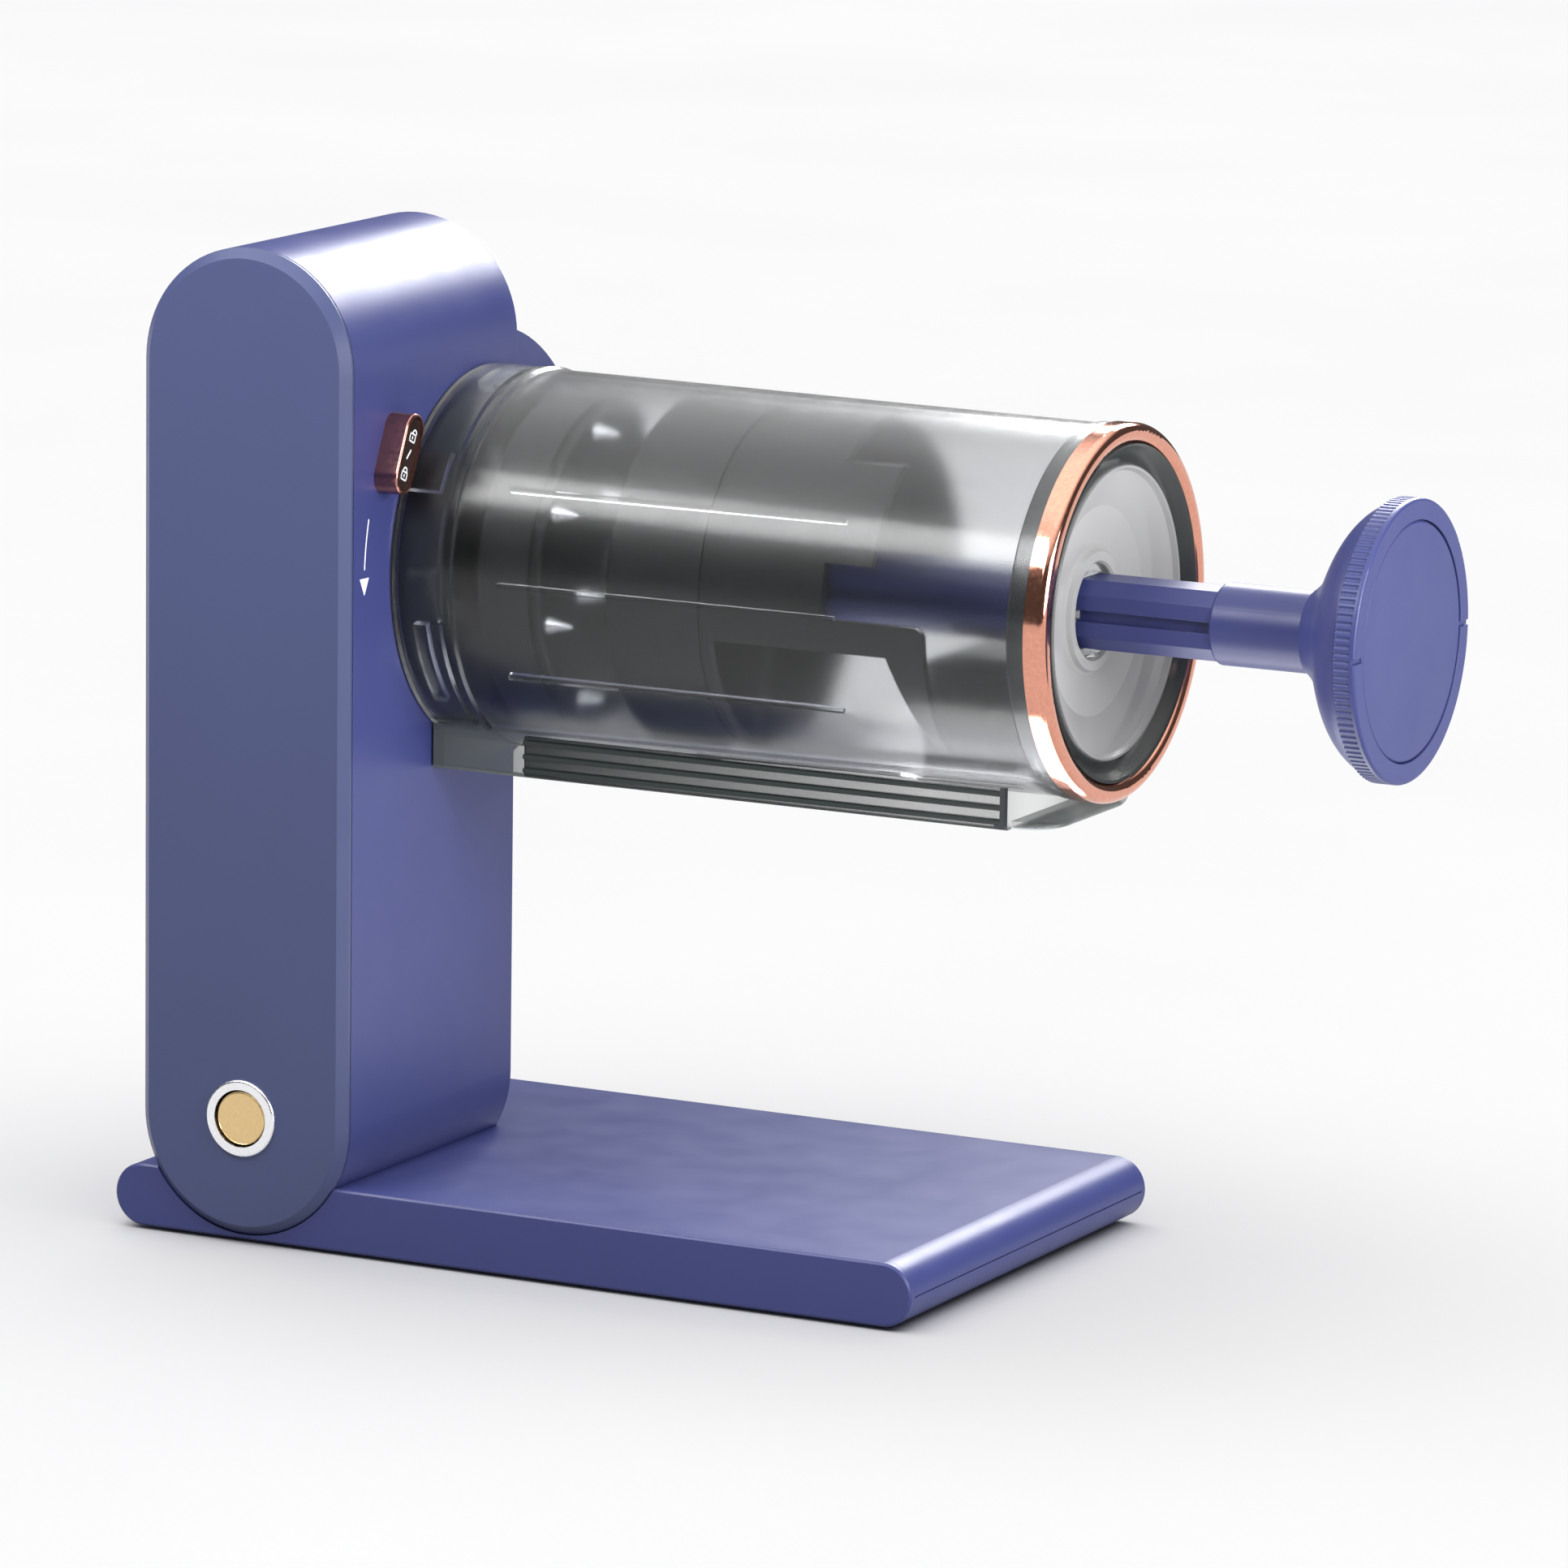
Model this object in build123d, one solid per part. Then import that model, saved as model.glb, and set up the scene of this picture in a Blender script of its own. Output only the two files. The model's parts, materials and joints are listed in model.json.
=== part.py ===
from build123d import *
from math import acos, cos, pi, radians, sin, tan
import os

# Electric shaved ice machine. Millimetres, +Z up, -Y the front, +X from the column to the knob.
# The origin is under the middle of the machine's bounding box, on the surface that it stands on.

# Base
FOOT_HEIGHT = 1.0
BASE_LEFT = -173.8
BASE_RIGHT = 68.0
BASE_FRONT = -71.5
BASE_REAR = 73.5
BASE_THICKNESS = 17.2
BASE_BOTTOM = FOOT_HEIGHT
BASE_TOP = BASE_BOTTOM + BASE_THICKNESS
BASE_SEAM = BASE_BOTTOM + BASE_THICKNESS / 2
SEAM_GAP = 0.3
END_PLATE = 2.5
END_BEVEL = 0.6
BASE_WALL = 2.4
BASE_SCREW_PLACES = [(-92, -60), (46, -60), (46, 62), (-60, 62), (-150, 62)]
FOOT_PLACES = [(-152, -56), (48, -56), (48, 58), (-152, 58)]
FOOT_RADIUS = 8.0

# Column
COLUMN_X = -133.0
COLUMN_WIDTH = 63.4
COLUMN_LEFT = COLUMN_X - COLUMN_WIDTH / 2
COLUMN_RIGHT = COLUMN_X + COLUMN_WIDTH / 2
COLUMN_BOTTOM = 2.5
COLUMN_TOP = 271.0
COLUMN_FRONT = -73.5
COLUMN_REAR = 19.4
COLUMN_WALL = 2.6
COVER_THICKNESS = 3.4
COVER_BEVEL = 2.6
COVER_GAP = 0.4
COVER_LIP = 4.0
FIT_GAP = 0.2
HOUSING_FRONT = COLUMN_FRONT + COVER_THICKNESS + COVER_GAP

# Drum axis, level along X
AXIS_Y = 1.0
AXIS_Z = 182.4
AXIS = (AXIS_Y, AXIS_Z)

# Gear pod behind the column, round about the drum's axis
POD_RADIUS = 61.3
POD_LEFT = -153.0
POD_RIGHT = COLUMN_RIGHT - 0.1

# Rear service panel and power inlet
PANEL_HALF_WIDTH = 24.0
PANEL_LOW = 26.0
PANEL_HIGH = 100.0
PANEL_THICKNESS = 2.0
PANEL_LIP = 2.2
PANEL_SCREW_INSET = 3.7
VENT_ROWS = 6
VENT_LOW = 62.0
VENT_PITCH = 5.0
VENT_HEIGHT = 2.4
VENT_HALF_LENGTH = 14.0
INLET_Z = 42.0
INLET_LENGTH = 20.0
INLET_HEIGHT = 10.0
INLET_PIN_REACH = 4.3
INLET_PIN_RADIUS = 1.2

# Start button
BUTTON_Z = 35.0
BEZEL_RADIUS = 10.6
BEZEL_INNER = 7.9
BEZEL_PROUD = 0.9
CAP_RADIUS = 7.4
CAP_PROUD = 0.3
STEM_RADIUS = 2.0
BOARD_FRONT = -45.0
BOARD_HALF_WIDTH = 27.0
BOARD_THICKNESS = 1.6
BOARD_RAIL_Z = (42.0, 60.0)

# Lock badge on the column's right face, placed by radius and angle about the drum's axis
BADGE_PLACE = (62.6, 147.3)
BADGE_LENGTH = 22.4
BADGE_WIDTH = 9.4
BADGE_HEIGHT = 7.0
BADGE_RIM = 1.0
BADGE_POCKET = 1.6
BADGE_RECESS = 0.6
BADGE_LEAN = -25.0

# Gear train: output gear on the drum's axis, layshaft below it, motor below that
OUTPUT_TEETH = 72
PINION_TEETH = 12
FIRST_GEAR_TEETH = 48
SLOW_MODULE = 1.5
FAST_MODULE = 1.0
BACKLASH = 0.25
PRESSURE_ANGLE = radians(20)
LAYSHAFT_ANGLE = 245.0
MOTOR_ANGLE = 290.0
SHAFT_CLEARANCE = 0.05
OUTPUT_SHAFT_RADIUS = 5.0
LAYSHAFT_RADIUS = 3.0
MOTOR_SHAFT_RADIUS = 1.6
MOTOR_RADIUS = 18.0
MOTOR_BOSS_RADIUS = 4.0
PLATE_LEFT_X = (-160.1, -158.1)
PLATE_RIGHT_X = (-149.5, -147.5)
FIRST_GEAR_X = (-157.0, -150.5)
SLOW_GEAR_X = (-146.5, -136.5)
MOTOR_END_X = -107.5
TERMINAL_REACH = 9.0
LEAD_RADIUS = 0.9
LEAD_BEND_RADIUS = 5.0
LEAD_BEND_Z = 70.0
LEAD_END_Z = 56.0

# Bayonet ring on the column
WEB_X = (COLUMN_RIGHT, COLUMN_RIGHT + 3.0)
MOUNT_RING_OUTER = 46.0
MOUNT_RING_INNER = 43.0
MOUNT_RING_END = -88.0
RING_LUG_RADIUS = 48.2
RING_LUG_X = (-91.0, MOUNT_RING_END)
LUG_ANGLES = (90, 210, 330)
LUG_SPAN = 30.0
SEAL_RADIUS = 9.0

# Drum
BARREL_LEFT = -100.6
COLLAR_RIGHT = -87.0
COLLAR_RADIUS = 51.35
COLLAR_INNER = 48.7
DRUM_LUG_INNER = 46.5
DRUM_LUG_X = (-96.0, -92.0)
BARREL_RADIUS_LEFT = 51.0
BARREL_RADIUS_RIGHT = 49.5
BARREL_INNER_LEFT = 48.4
BARREL_INNER_RIGHT = 47.1
BARREL_RIGHT = 86.0
RIM_RADIUS = 50.0
RIM_LEFT = 81.5
BEAD_RADIUS = 51.7
RIB_HEIGHT = 1.1
RIB_WIDTH = 1.2
RIB_ANGLES = (0, 31, 149, 180, 212, 328)
RIB_X = (-70.0, 30.0)
TAB_ANGLE = 147.0
TAB_LENGTH = 12.0
TAB_WIDTH = 12.0
TAB_OUTER = 53.6
SLOT_X = (-27.0, 41.0)
SLOT_HALF_WIDTH = 20.0

# Trim ring and end cap
TRIM_OUTER = 50.4
TRIM_INNER = 45.0
TRIM_X = (86.0, 92.2)
CAP_OUTER = 44.9
CAP_LEFT = 78.0
HUB_HOLE = 12.7

# Chute under the drum
CHUTE_LEFT = -100.6
CHUTE_RIGHT = 72.0
CHUTE_HALF_WIDTH = 28.0
CHUTE_BOTTOM = 127.0
CHUTE_WALL = 2.2
NOSE_RIGHT = 85.5
NOSE_CORNER = 13.0
NOSE_SOLE = 7.0
RAIL_X = (-72.0, 70.5)
RAIL_DEPTH = 1.0
RAIL_RIB = 0.9
RAIL_RIBS_Z = (129.2, 133.0, 136.8)
RAIL_Z = (CHUTE_BOTTOM + 0.6, CHUTE_BOTTOM + 11.4)

# Ribbed deflector behind the falling ice
DEFLECTOR_X = (42.4, 71.0)
DEFLECTOR_HALF_WIDTH = 20.0
DEFLECTOR_WALL = 2.2
DEFLECTOR_DROP = 14.5
DEFLECTOR_RIBS_X = (47.0, 54.5, 61.0)

# Drive hub and plate
HUB_X = (-96.0, -63.0)
HUB_RADIUS = 44.0
PLATE_X = (-63.0, -60.0)
PLATE_RADIUS = 42.5
SPIKE_LENGTH = 7.0
SPIKE_RADIUS = 2.4
SPIKE_TIP = 0.4
SPIKE_TURN = 17.0
SPIKE_RINGS = ((8, 38.5), (4, 20.0))

# Blade head
HEAD_X = (-39.0, -8.0)
HEAD_RADIUS = 45.6
HEAD_WALL = 2.6
HEAD_FACE = 4.0
HEAD_RIB = 2.4
BLADE_SLOT = (14.0, 40.0)
BLADE_SLOT_WIDTH = 8.0
BLADE_ANGLE = 230.0
BLADE_TILT = 62.0
HOOD_X = (-8.0, 22.0)
HOOD_WALL = 2.2
HOOD_LOW = AXIS_Z - 9.4
ARM_HIGH = AXIS_Z - 0.8
ARM_RIGHT = 55.0
ARM_CORNER = 3.0
LEG_TOP_X = 44.0
LEG_FOOT_X = 53.3
LEG_LOW = AXIS_Z - 36.0
VISOR_X = (25.3, 39.0)
VISOR_Z = (AXIS_Z + 13.7, AXIS_Z + 37.4)
SOCKET_RADIUS = 13.0
SOCKET_RIGHT = 9.0

# Plunger
ROD_HALF_HEIGHT = 9.2
ROD_CORNER = 3.6
ROD_GROOVE_WIDTH = 3.0
ROD_GROOVE_DEPTH = 2.0
ROD_X = (-22.0, 146.0)
ROD_GUIDE_GAP = 0.3
SLEEVE_RADIUS = 10.9
SLEEVE_X = (120.5, 146.4)
KNOB_RADIUS = 37.4
KNOB_FRONT = 173.7
KNOB_SEAM = 167.4
INSET_RADIUS = 31.6
KNURLS = 120
KNURL_DEPTH = 0.35
KNURL_CUTTER = 0.7
KNOB_SCREW_RADIUS = 2.0
KNOB_SCREW_LEFT = 128.0

# Fasteners: clearance and thread radii shared by the shell, its bosses and the screws
SCREW_RADIUS = 1.5
FOOT_SCREW_RADIUS = 2.0
FOOT_SCREW_PLACES = [(COLUMN_X, -46.0), (COLUMN_X, -6.0)]
PANEL_SCREW_RADIUS = 1.2
RING_SCREW_CIRCLE = 26.0
MOTOR_SCREW_CIRCLE = 12.5
MOTOR_SCREW_ANGLES = (45, 225)
CROSS_SLOT = 0.6


# ---------------------------------------------------------------- shape helpers
def rod_x(radius, x0, x1, centre=AXIS):
    """Cylinder along X between two stations, about a centre given as (y, z)."""
    shape = Cylinder(radius, x1 - x0, align=(Align.CENTER, Align.CENTER, Align.MIN))
    return Pos(x0, centre[0], centre[1]) * Rot(0, 90, 0) * shape


def tube_x(outer, inner, x0, x1, centre=AXIS):
    """Tube along X between two stations."""
    return rod_x(outer, x0, x1, centre) - rod_x(inner, x0, x1, centre)


def rod_y(radius, y0, y1, x, z):
    """Cylinder along Y."""
    shape = Cylinder(radius, y1 - y0, align=(Align.CENTER, Align.CENTER, Align.MIN))
    return Pos(x, y0, z) * Rot(-90, 0, 0) * shape


def rod_z(radius, z0, z1, x, y):
    """Cylinder along Z."""
    shape = Cylinder(radius, z1 - z0, align=(Align.CENTER, Align.CENTER, Align.MIN))
    return Pos(x, y, z0) * shape


def block(x0, x1, y0, y1, z0, z1):
    """Box between two corners."""
    return Pos(x0, y0, z0) * Box(x1 - x0, y1 - y0, z1 - z0, align=(Align.MIN,) * 3)


def stadium(inset, y0, y1):
    """The column's upright stadium outline, drawn in by inset, as a prism along Y."""
    height = COLUMN_TOP - COLUMN_BOTTOM - 2 * inset
    middle = (COLUMN_TOP + COLUMN_BOTTOM) / 2
    plane = Plane(origin=(COLUMN_X, y0, middle), x_dir=(1, 0, 0), z_dir=(0, 1, 0))
    outline = plane * SlotOverall(height, COLUMN_WIDTH - 2 * inset, rotation=90)
    return extrude(outline, amount=y1 - y0)


def base_slab(inset, y0, y1):
    """The base's outline with two rounded ends, drawn in by inset, as a prism along Y."""
    middle_x = (BASE_LEFT + BASE_RIGHT) / 2
    plane = Plane(origin=(middle_x, y0, BASE_SEAM), x_dir=(1, 0, 0), z_dir=(0, 1, 0))
    length = BASE_RIGHT - BASE_LEFT - 2 * inset
    outline = plane * SlotOverall(length, BASE_THICKNESS - 2 * inset)
    return extrude(outline, amount=y1 - y0)


def turned(points):
    """Solid of revolution about the drum's axis, from (x, radius) points."""
    plane = Plane(origin=(0, AXIS_Y, AXIS_Z), x_dir=(1, 0, 0), z_dir=(0, -1, 0))
    outline = plane * make_face(Polyline(*points, close=True))
    return revolve(outline, Axis((0, AXIS_Y, AXIS_Z), (1, 0, 0)), 360)


def polar(radius, degrees_, centre=AXIS):
    """Point (y, z) at a radius and an angle from +Y about an X axis."""
    angle = radians(degrees_)
    return (centre[0] + radius * cos(angle), centre[1] + radius * sin(angle))


def about_axis(shape, degrees_):
    """Turn a shape about the drum's axis."""
    centre = Pos(0, AXIS_Y, AXIS_Z)
    return centre * Rot(degrees_, 0, 0) * centre.inverse() * shape


def wedge(span, x0, x1, reach=70.0):
    """Slice of a disc about the drum's axis, span degrees wide, centred on +Y."""
    half = radians(span / 2)
    corners = [(0, 0), (reach, -reach * tan(half)), (reach, reach * tan(half))]
    plane = Plane.YZ.offset(x0)
    outline = plane * (Pos(AXIS_Y, AXIS_Z) * make_face(Polyline(*corners, close=True)))
    return extrude(outline, amount=x1 - x0)


def outer_right_edge(shape):
    """Largest circular edge at a turned shape's right end."""
    circles = shape.edges().filter_by(GeomType.CIRCLE)
    return circles.group_by(Axis.X)[-1].sort_by(SortBy.RADIUS)[-1]


def group(shapes):
    """Several solids kept apart in one node."""
    solids = []
    for shape in shapes:
        solids += list(shape.solids())
    return Compound(children=solids)


# ---------------------------------------------------------------- gears
def involute(angle):
    """Involute function of an angle in radians."""
    return tan(angle) - angle


def gear_outline(teeth, module, phase, centre):
    """Toothed outline with involute tooth widths at root, pitch circle and tip."""
    pitch = teeth * module / 2
    base = pitch * cos(PRESSURE_ANGLE)
    root = pitch - 1.25 * module
    tip = pitch + 0.95 * module
    half_pitch_angle = (pi * module / 2 - BACKLASH) / 2 / pitch + involute(PRESSURE_ANGLE)
    flank = []
    for radius in (root, pitch, tip):
        rolled = involute(acos(min(1.0, base / radius)))
        flank.append((radius, half_pitch_angle - rolled))
    points = []
    for tooth in range(teeth):
        middle = phase + 2 * pi * tooth / teeth
        for radius, half in flank:
            points.append((radius, middle - half))
        for radius, half in reversed(flank):
            points.append((radius, middle + half))
    corners = [(centre[0] + r * cos(a), centre[1] + r * sin(a)) for r, a in points]
    return make_face(Polyline(*corners, close=True))


def spur_gear(teeth, module, phase, stations, centre, bore):
    """Spur gear along X with a plain bore."""
    outline = Plane.YZ.offset(stations[0]) * gear_outline(teeth, module, phase, centre)
    gear = extrude(outline, amount=stations[1] - stations[0])
    return gear - rod_x(bore, stations[0] - 1, stations[1] + 1, centre)


SLOW_CENTRES = (OUTPUT_TEETH + PINION_TEETH) * SLOW_MODULE / 2
FAST_CENTRES = (FIRST_GEAR_TEETH + PINION_TEETH) * FAST_MODULE / 2
LAYSHAFT = polar(SLOW_CENTRES, LAYSHAFT_ANGLE)
MOTOR = polar(FAST_CENTRES, MOTOR_ANGLE, LAYSHAFT)


def gear_parts():
    """Output gear, layshaft pair and motor pinion, with teeth in gaps at rest."""
    down = radians(LAYSHAFT_ANGLE)
    to_motor = radians(MOTOR_ANGLE)
    gap = pi / PINION_TEETH
    output = spur_gear(OUTPUT_TEETH, SLOW_MODULE, down, SLOW_GEAR_X, AXIS, OUTPUT_SHAFT_RADIUS)
    for step in range(6):
        hole = polar(34.0, 60 * step + 5)
        output -= rod_x(6.0, SLOW_GEAR_X[0] - 1, SLOW_GEAR_X[1] + 1, hole)
    output += tube_x(13.0, OUTPUT_SHAFT_RADIUS, SLOW_GEAR_X[1], SLOW_GEAR_X[1] + 6)
    pinion_x = (SLOW_GEAR_X[0] + 0.5, SLOW_GEAR_X[1] + 1)
    pinion = spur_gear(
        PINION_TEETH, SLOW_MODULE, down + pi + gap, pinion_x, LAYSHAFT, LAYSHAFT_RADIUS
    )
    pinion += rod_x(LAYSHAFT_RADIUS, PLATE_LEFT_X[0], pinion_x[1] + 2, LAYSHAFT)
    first = spur_gear(
        FIRST_GEAR_TEETH, FAST_MODULE, to_motor, FIRST_GEAR_X, LAYSHAFT, LAYSHAFT_RADIUS
    )
    for step in range(5):
        hole = polar(14.0, 72 * step, LAYSHAFT)
        first -= rod_x(4.5, FIRST_GEAR_X[0] - 1, FIRST_GEAR_X[1] + 1, hole)
    motor_pinion = spur_gear(
        PINION_TEETH, FAST_MODULE, to_motor + pi + gap, FIRST_GEAR_X, MOTOR, MOTOR_SHAFT_RADIUS
    )
    return {
        "output_gear": output,
        "layshaft_pinion": pinion,
        "layshaft_gear": first,
        "motor_pinion": motor_pinion,
    }


def gearbox_plate(stations):
    """Rounded steel plate that carries the shafts."""
    y0, y1, z0, z1 = -48.0, 12.0, 74.0, 200.0
    plate = block(stations[0], stations[1], y0, y1, z0, z1)
    corners = plate.edges().filter_by(Axis.X)
    return fillet(corners, 12.0)


PILLAR_PLACES = [(-41.0, 80.5), (5.5, 80.5), (-41.0, 193.0), (5.5, 161.0)]


def gearbox_parts():
    """Two plates, pillars, bushes and screws that make the gearbox frame."""
    left, right = PLATE_LEFT_X, PLATE_RIGHT_X
    bush_wall = 2.0
    outer = gearbox_plate(left)
    inner = gearbox_plate(right)
    bushes = []
    for plate_x in (left, right):
        for centre, radius in ((AXIS, OUTPUT_SHAFT_RADIUS), (LAYSHAFT, LAYSHAFT_RADIUS)):
            bushes.append(
                tube_x(radius + bush_wall, radius + SHAFT_CLEARANCE, plate_x[0], plate_x[1], centre)
            )
    for centre, radius in ((AXIS, OUTPUT_SHAFT_RADIUS), (LAYSHAFT, LAYSHAFT_RADIUS)):
        hole = rod_x(radius + bush_wall, left[0] - 1, right[1] + 1, centre)
        outer -= hole
        inner -= hole
    inner -= rod_x(MOTOR_BOSS_RADIUS, right[0] - 1, right[1] + 1, MOTOR)
    pillars = []
    screws = []
    for place in PILLAR_PLACES:
        pillars.append(tube_x(3.5, SCREW_RADIUS, left[1], right[0], place))
        head = rod_x(2.8, right[1] - 1.2, right[1], place)
        screws.append(rod_x(SCREW_RADIUS, left[0] - 1.0, right[1], place) + head)
        outer -= rod_x(SCREW_RADIUS, left[0] - 1, left[1] + 1, place)
        inner -= screws[-1]
    for turn in MOTOR_SCREW_ANGLES:
        place = polar(MOTOR_SCREW_CIRCLE, turn, MOTOR)
        inner -= rod_x(SCREW_RADIUS, right[0] - 1, right[1] + 1, place)
        shank = rod_x(SCREW_RADIUS, right[0], right[1] + 4.0, place)
        screws.append(shank + rod_x(2.0, right[0] - 0.9, right[0], place))
    return {
        "gearbox_outer_plate": outer,
        "gearbox_motor_plate": inner,
        "gearbox_pillars": group(pillars),
        "gearbox_screws": group(screws),
        "gearbox_bushes": group(bushes),
    }


def motor_parts():
    """Sealed motor on the right of the motor plate, its shaft, and its two leads."""
    front = PLATE_RIGHT_X[1]
    can = rod_x(MOTOR_RADIUS, front, MOTOR_END_X - 5, MOTOR)
    can = fillet(can.edges().filter_by(GeomType.CIRCLE), 1.2)
    can += rod_x(MOTOR_BOSS_RADIUS, PLATE_RIGHT_X[0], front, MOTOR)
    can += rod_x(6.0, MOTOR_END_X - 5, MOTOR_END_X - 2.5, MOTOR)
    can -= rod_x(MOTOR_SHAFT_RADIUS + SHAFT_CLEARANCE, PLATE_RIGHT_X[0] - 1, MOTOR_END_X - 6, MOTOR)
    for turn in MOTOR_SCREW_ANGLES:
        can -= rod_x(SCREW_RADIUS, front - 1, front + 4.0, polar(MOTOR_SCREW_CIRCLE, turn, MOTOR))
    terminals = []
    for side in (-TERMINAL_REACH, TERMINAL_REACH):
        y = MOTOR[0] + side
        z = MOTOR[1]
        terminals.append(block(MOTOR_END_X - 5, MOTOR_END_X, y - 1.4, y + 1.4, z - 0.3, z + 0.3))
    shaft = rod_x(MOTOR_SHAFT_RADIUS, FIRST_GEAR_X[0] - 0.6, MOTOR_END_X - 8, MOTOR)
    leads = []
    for side in (-TERMINAL_REACH, TERMINAL_REACH):
        start = (MOTOR_END_X - 0.8, MOTOR[0] + side, MOTOR[1] - 0.3)
        route = [
            start,
            (start[0], start[1], LEAD_BEND_Z),
            (start[0] - 8.0, start[1] - 14.0, LEAD_END_Z),
            (start[0] - 8.0, BOARD_FRONT + BOARD_THICKNESS, LEAD_END_Z),
        ]
        path = FilletPolyline(*route, radius=[LEAD_BEND_RADIUS, LEAD_BEND_RADIUS])
        section = Plane(origin=start, z_dir=path % 0) * Circle(LEAD_RADIUS)
        leads.append(sweep(section, path))
    return {
        "motor": group([can] + terminals),
        "motor_shaft": shaft,
        "motor_leads": group(leads),
    }


# ---------------------------------------------------------------- stand
def base_parts():
    """Top shell, bottom tray, end plates, ballast, screws and feet."""
    seat = stadium(-FIT_GAP, COLUMN_FRONT - 5, COLUMN_REAR + FIT_GAP)
    y0 = BASE_FRONT + END_PLATE
    y1 = BASE_REAR - END_PLATE
    middle_gap = SEAM_GAP / 2
    above = block(BASE_LEFT - 1, BASE_RIGHT + 1, y0 - 1, y1 + 1, BASE_SEAM + middle_gap, BASE_TOP + 1)
    below = block(BASE_LEFT - 1, BASE_RIGHT + 1, y0 - 1, y1 + 1, 0, BASE_SEAM - middle_gap)
    outer = base_slab(0, y0, y1)
    hollow = base_slab(BASE_WALL, y0 + BASE_WALL, y1 - BASE_WALL)
    top = (outer & above) - hollow
    tray = (outer & below) - hollow
    floor = BASE_BOTTOM + BASE_WALL
    screws = []
    for x, y in BASE_SCREW_PLACES:
        top += rod_z(3.5, floor + 0.1, BASE_TOP - BASE_WALL / 2, x, y)
        top -= rod_z(SCREW_RADIUS, floor - 1, BASE_TOP - 4, x, y)
        tray -= rod_z(SCREW_RADIUS, 0, floor + 1, x, y)
        tray -= rod_z(3.0, 0, BASE_BOTTOM + 1.2, x, y)
        head = rod_z(3.0, BASE_BOTTOM, BASE_BOTTOM + 1.2, x, y)
        screws.append(head + rod_z(SCREW_RADIUS, BASE_BOTTOM, BASE_TOP - 4, x, y))
    top -= seat
    tray -= seat
    plates = []
    for start, outside in ((BASE_FRONT, 0), (y1, -1)):
        plate = base_slab(0, start, start + END_PLATE)
        face = plate.faces().sort_by(Axis.Y)[outside]
        plate = chamfer(face.edges(), END_BEVEL)
        plates.append(plate - seat)
    ballast = block(-88, 50, -54, 56, floor, floor + 4.0)
    ballast = fillet(ballast.edges().filter_by(Axis.Z), 4.0)
    for x, y in BASE_SCREW_PLACES:
        ballast -= rod_z(4.5, 0, 20, x, y)
    feet = []
    for x, y in FOOT_PLACES:
        foot = rod_z(FOOT_RADIUS, 0, FOOT_HEIGHT, x, y)
        feet.append(chamfer(foot.edges().sort_by(Axis.Z)[0], 0.3))
    foot_screws = []
    for place in FOOT_SCREW_PLACES:
        tray -= rod_z(FOOT_SCREW_RADIUS, 0, 10, *place)
        tray -= rod_z(3.6, 0, BASE_BOTTOM + 0.9, *place)
        head = rod_z(3.6, BASE_BOTTOM, BASE_BOTTOM + 0.9, *place)
        foot_screws.append(head + rod_z(FOOT_SCREW_RADIUS, BASE_BOTTOM, COLUMN_BOTTOM + 11.0, *place))
    return {
        "base_top_shell": top,
        "base_bottom_tray": tray,
        "base_front_plate": plates[0],
        "base_rear_plate": plates[1],
        "base_ballast_plate": ballast,
        "base_screws": group(screws),
        "rubber_feet": group(feet),
        "column_foot_screws": group(foot_screws),
    }


def column_housing(window_x, window_z):
    """Column shell with the gear pod, bosses, board rails and the window to the rear."""
    wall_x = (COLUMN_RIGHT - COLUMN_WALL - 1, COLUMN_RIGHT + 1)
    reach = (POD_LEFT - 1, POD_RIGHT + 1)
    pod = rod_x(POD_RADIUS, POD_LEFT, POD_RIGHT)
    pod = fillet(pod.edges().sort_by(Axis.X)[0], 4.0)
    pod &= block(*reach, COLUMN_REAR - 0.01, 100, 100, 260)
    housing = stadium(0, HOUSING_FRONT, COLUMN_REAR) + pod
    housing -= stadium(COLUMN_WALL, HOUSING_FRONT - 1, COLUMN_REAR - COLUMN_WALL)
    pod_inside = rod_x(POD_RADIUS - COLUMN_WALL, POD_LEFT + COLUMN_WALL, POD_RIGHT - COLUMN_WALL)
    housing -= pod_inside & block(*reach, COLUMN_REAR - COLUMN_WALL - 1, 100, 100, 260)
    for place in PILLAR_PLACES:
        housing += rod_x(4.0, COLUMN_LEFT + 1.0, PLATE_LEFT_X[0], place)
        housing -= rod_x(SCREW_RADIUS, COLUMN_LEFT + COLUMN_WALL, PLATE_LEFT_X[0] + 1, place)
    housing -= rod_x(SEAL_RADIUS, *wall_x)
    for turn in LUG_ANGLES:
        housing -= rod_x(SCREW_RADIUS, *wall_x, polar(RING_SCREW_CIRCLE, turn))
    for place in FOOT_SCREW_PLACES:
        housing += rod_z(4.5, COLUMN_BOTTOM + 0.5, COLUMN_BOTTOM + 11.0, *place)
        housing -= rod_z(FOOT_SCREW_RADIUS, 0, COLUMN_BOTTOM + 11.5, *place)
    for side in (-1, 1):
        board_edge = COLUMN_X + side * BOARD_HALF_WIDTH
        inner_wall = COLUMN_X + side * (COLUMN_WIDTH / 2 - 1)
        edge = sorted((board_edge, inner_wall))
        for y in (BOARD_FRONT - 2.0, BOARD_FRONT + BOARD_THICKNESS):
            rail = block(edge[0] - 1.5, edge[1] + 1.5, y, y + 2.0, *BOARD_RAIL_Z)
            housing += rail & stadium(1.0, y - 1, y + 3)
    window = block(*window_x, COLUMN_REAR - COLUMN_WALL - 1, COLUMN_REAR + 1, *window_z)
    return housing - window


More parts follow.
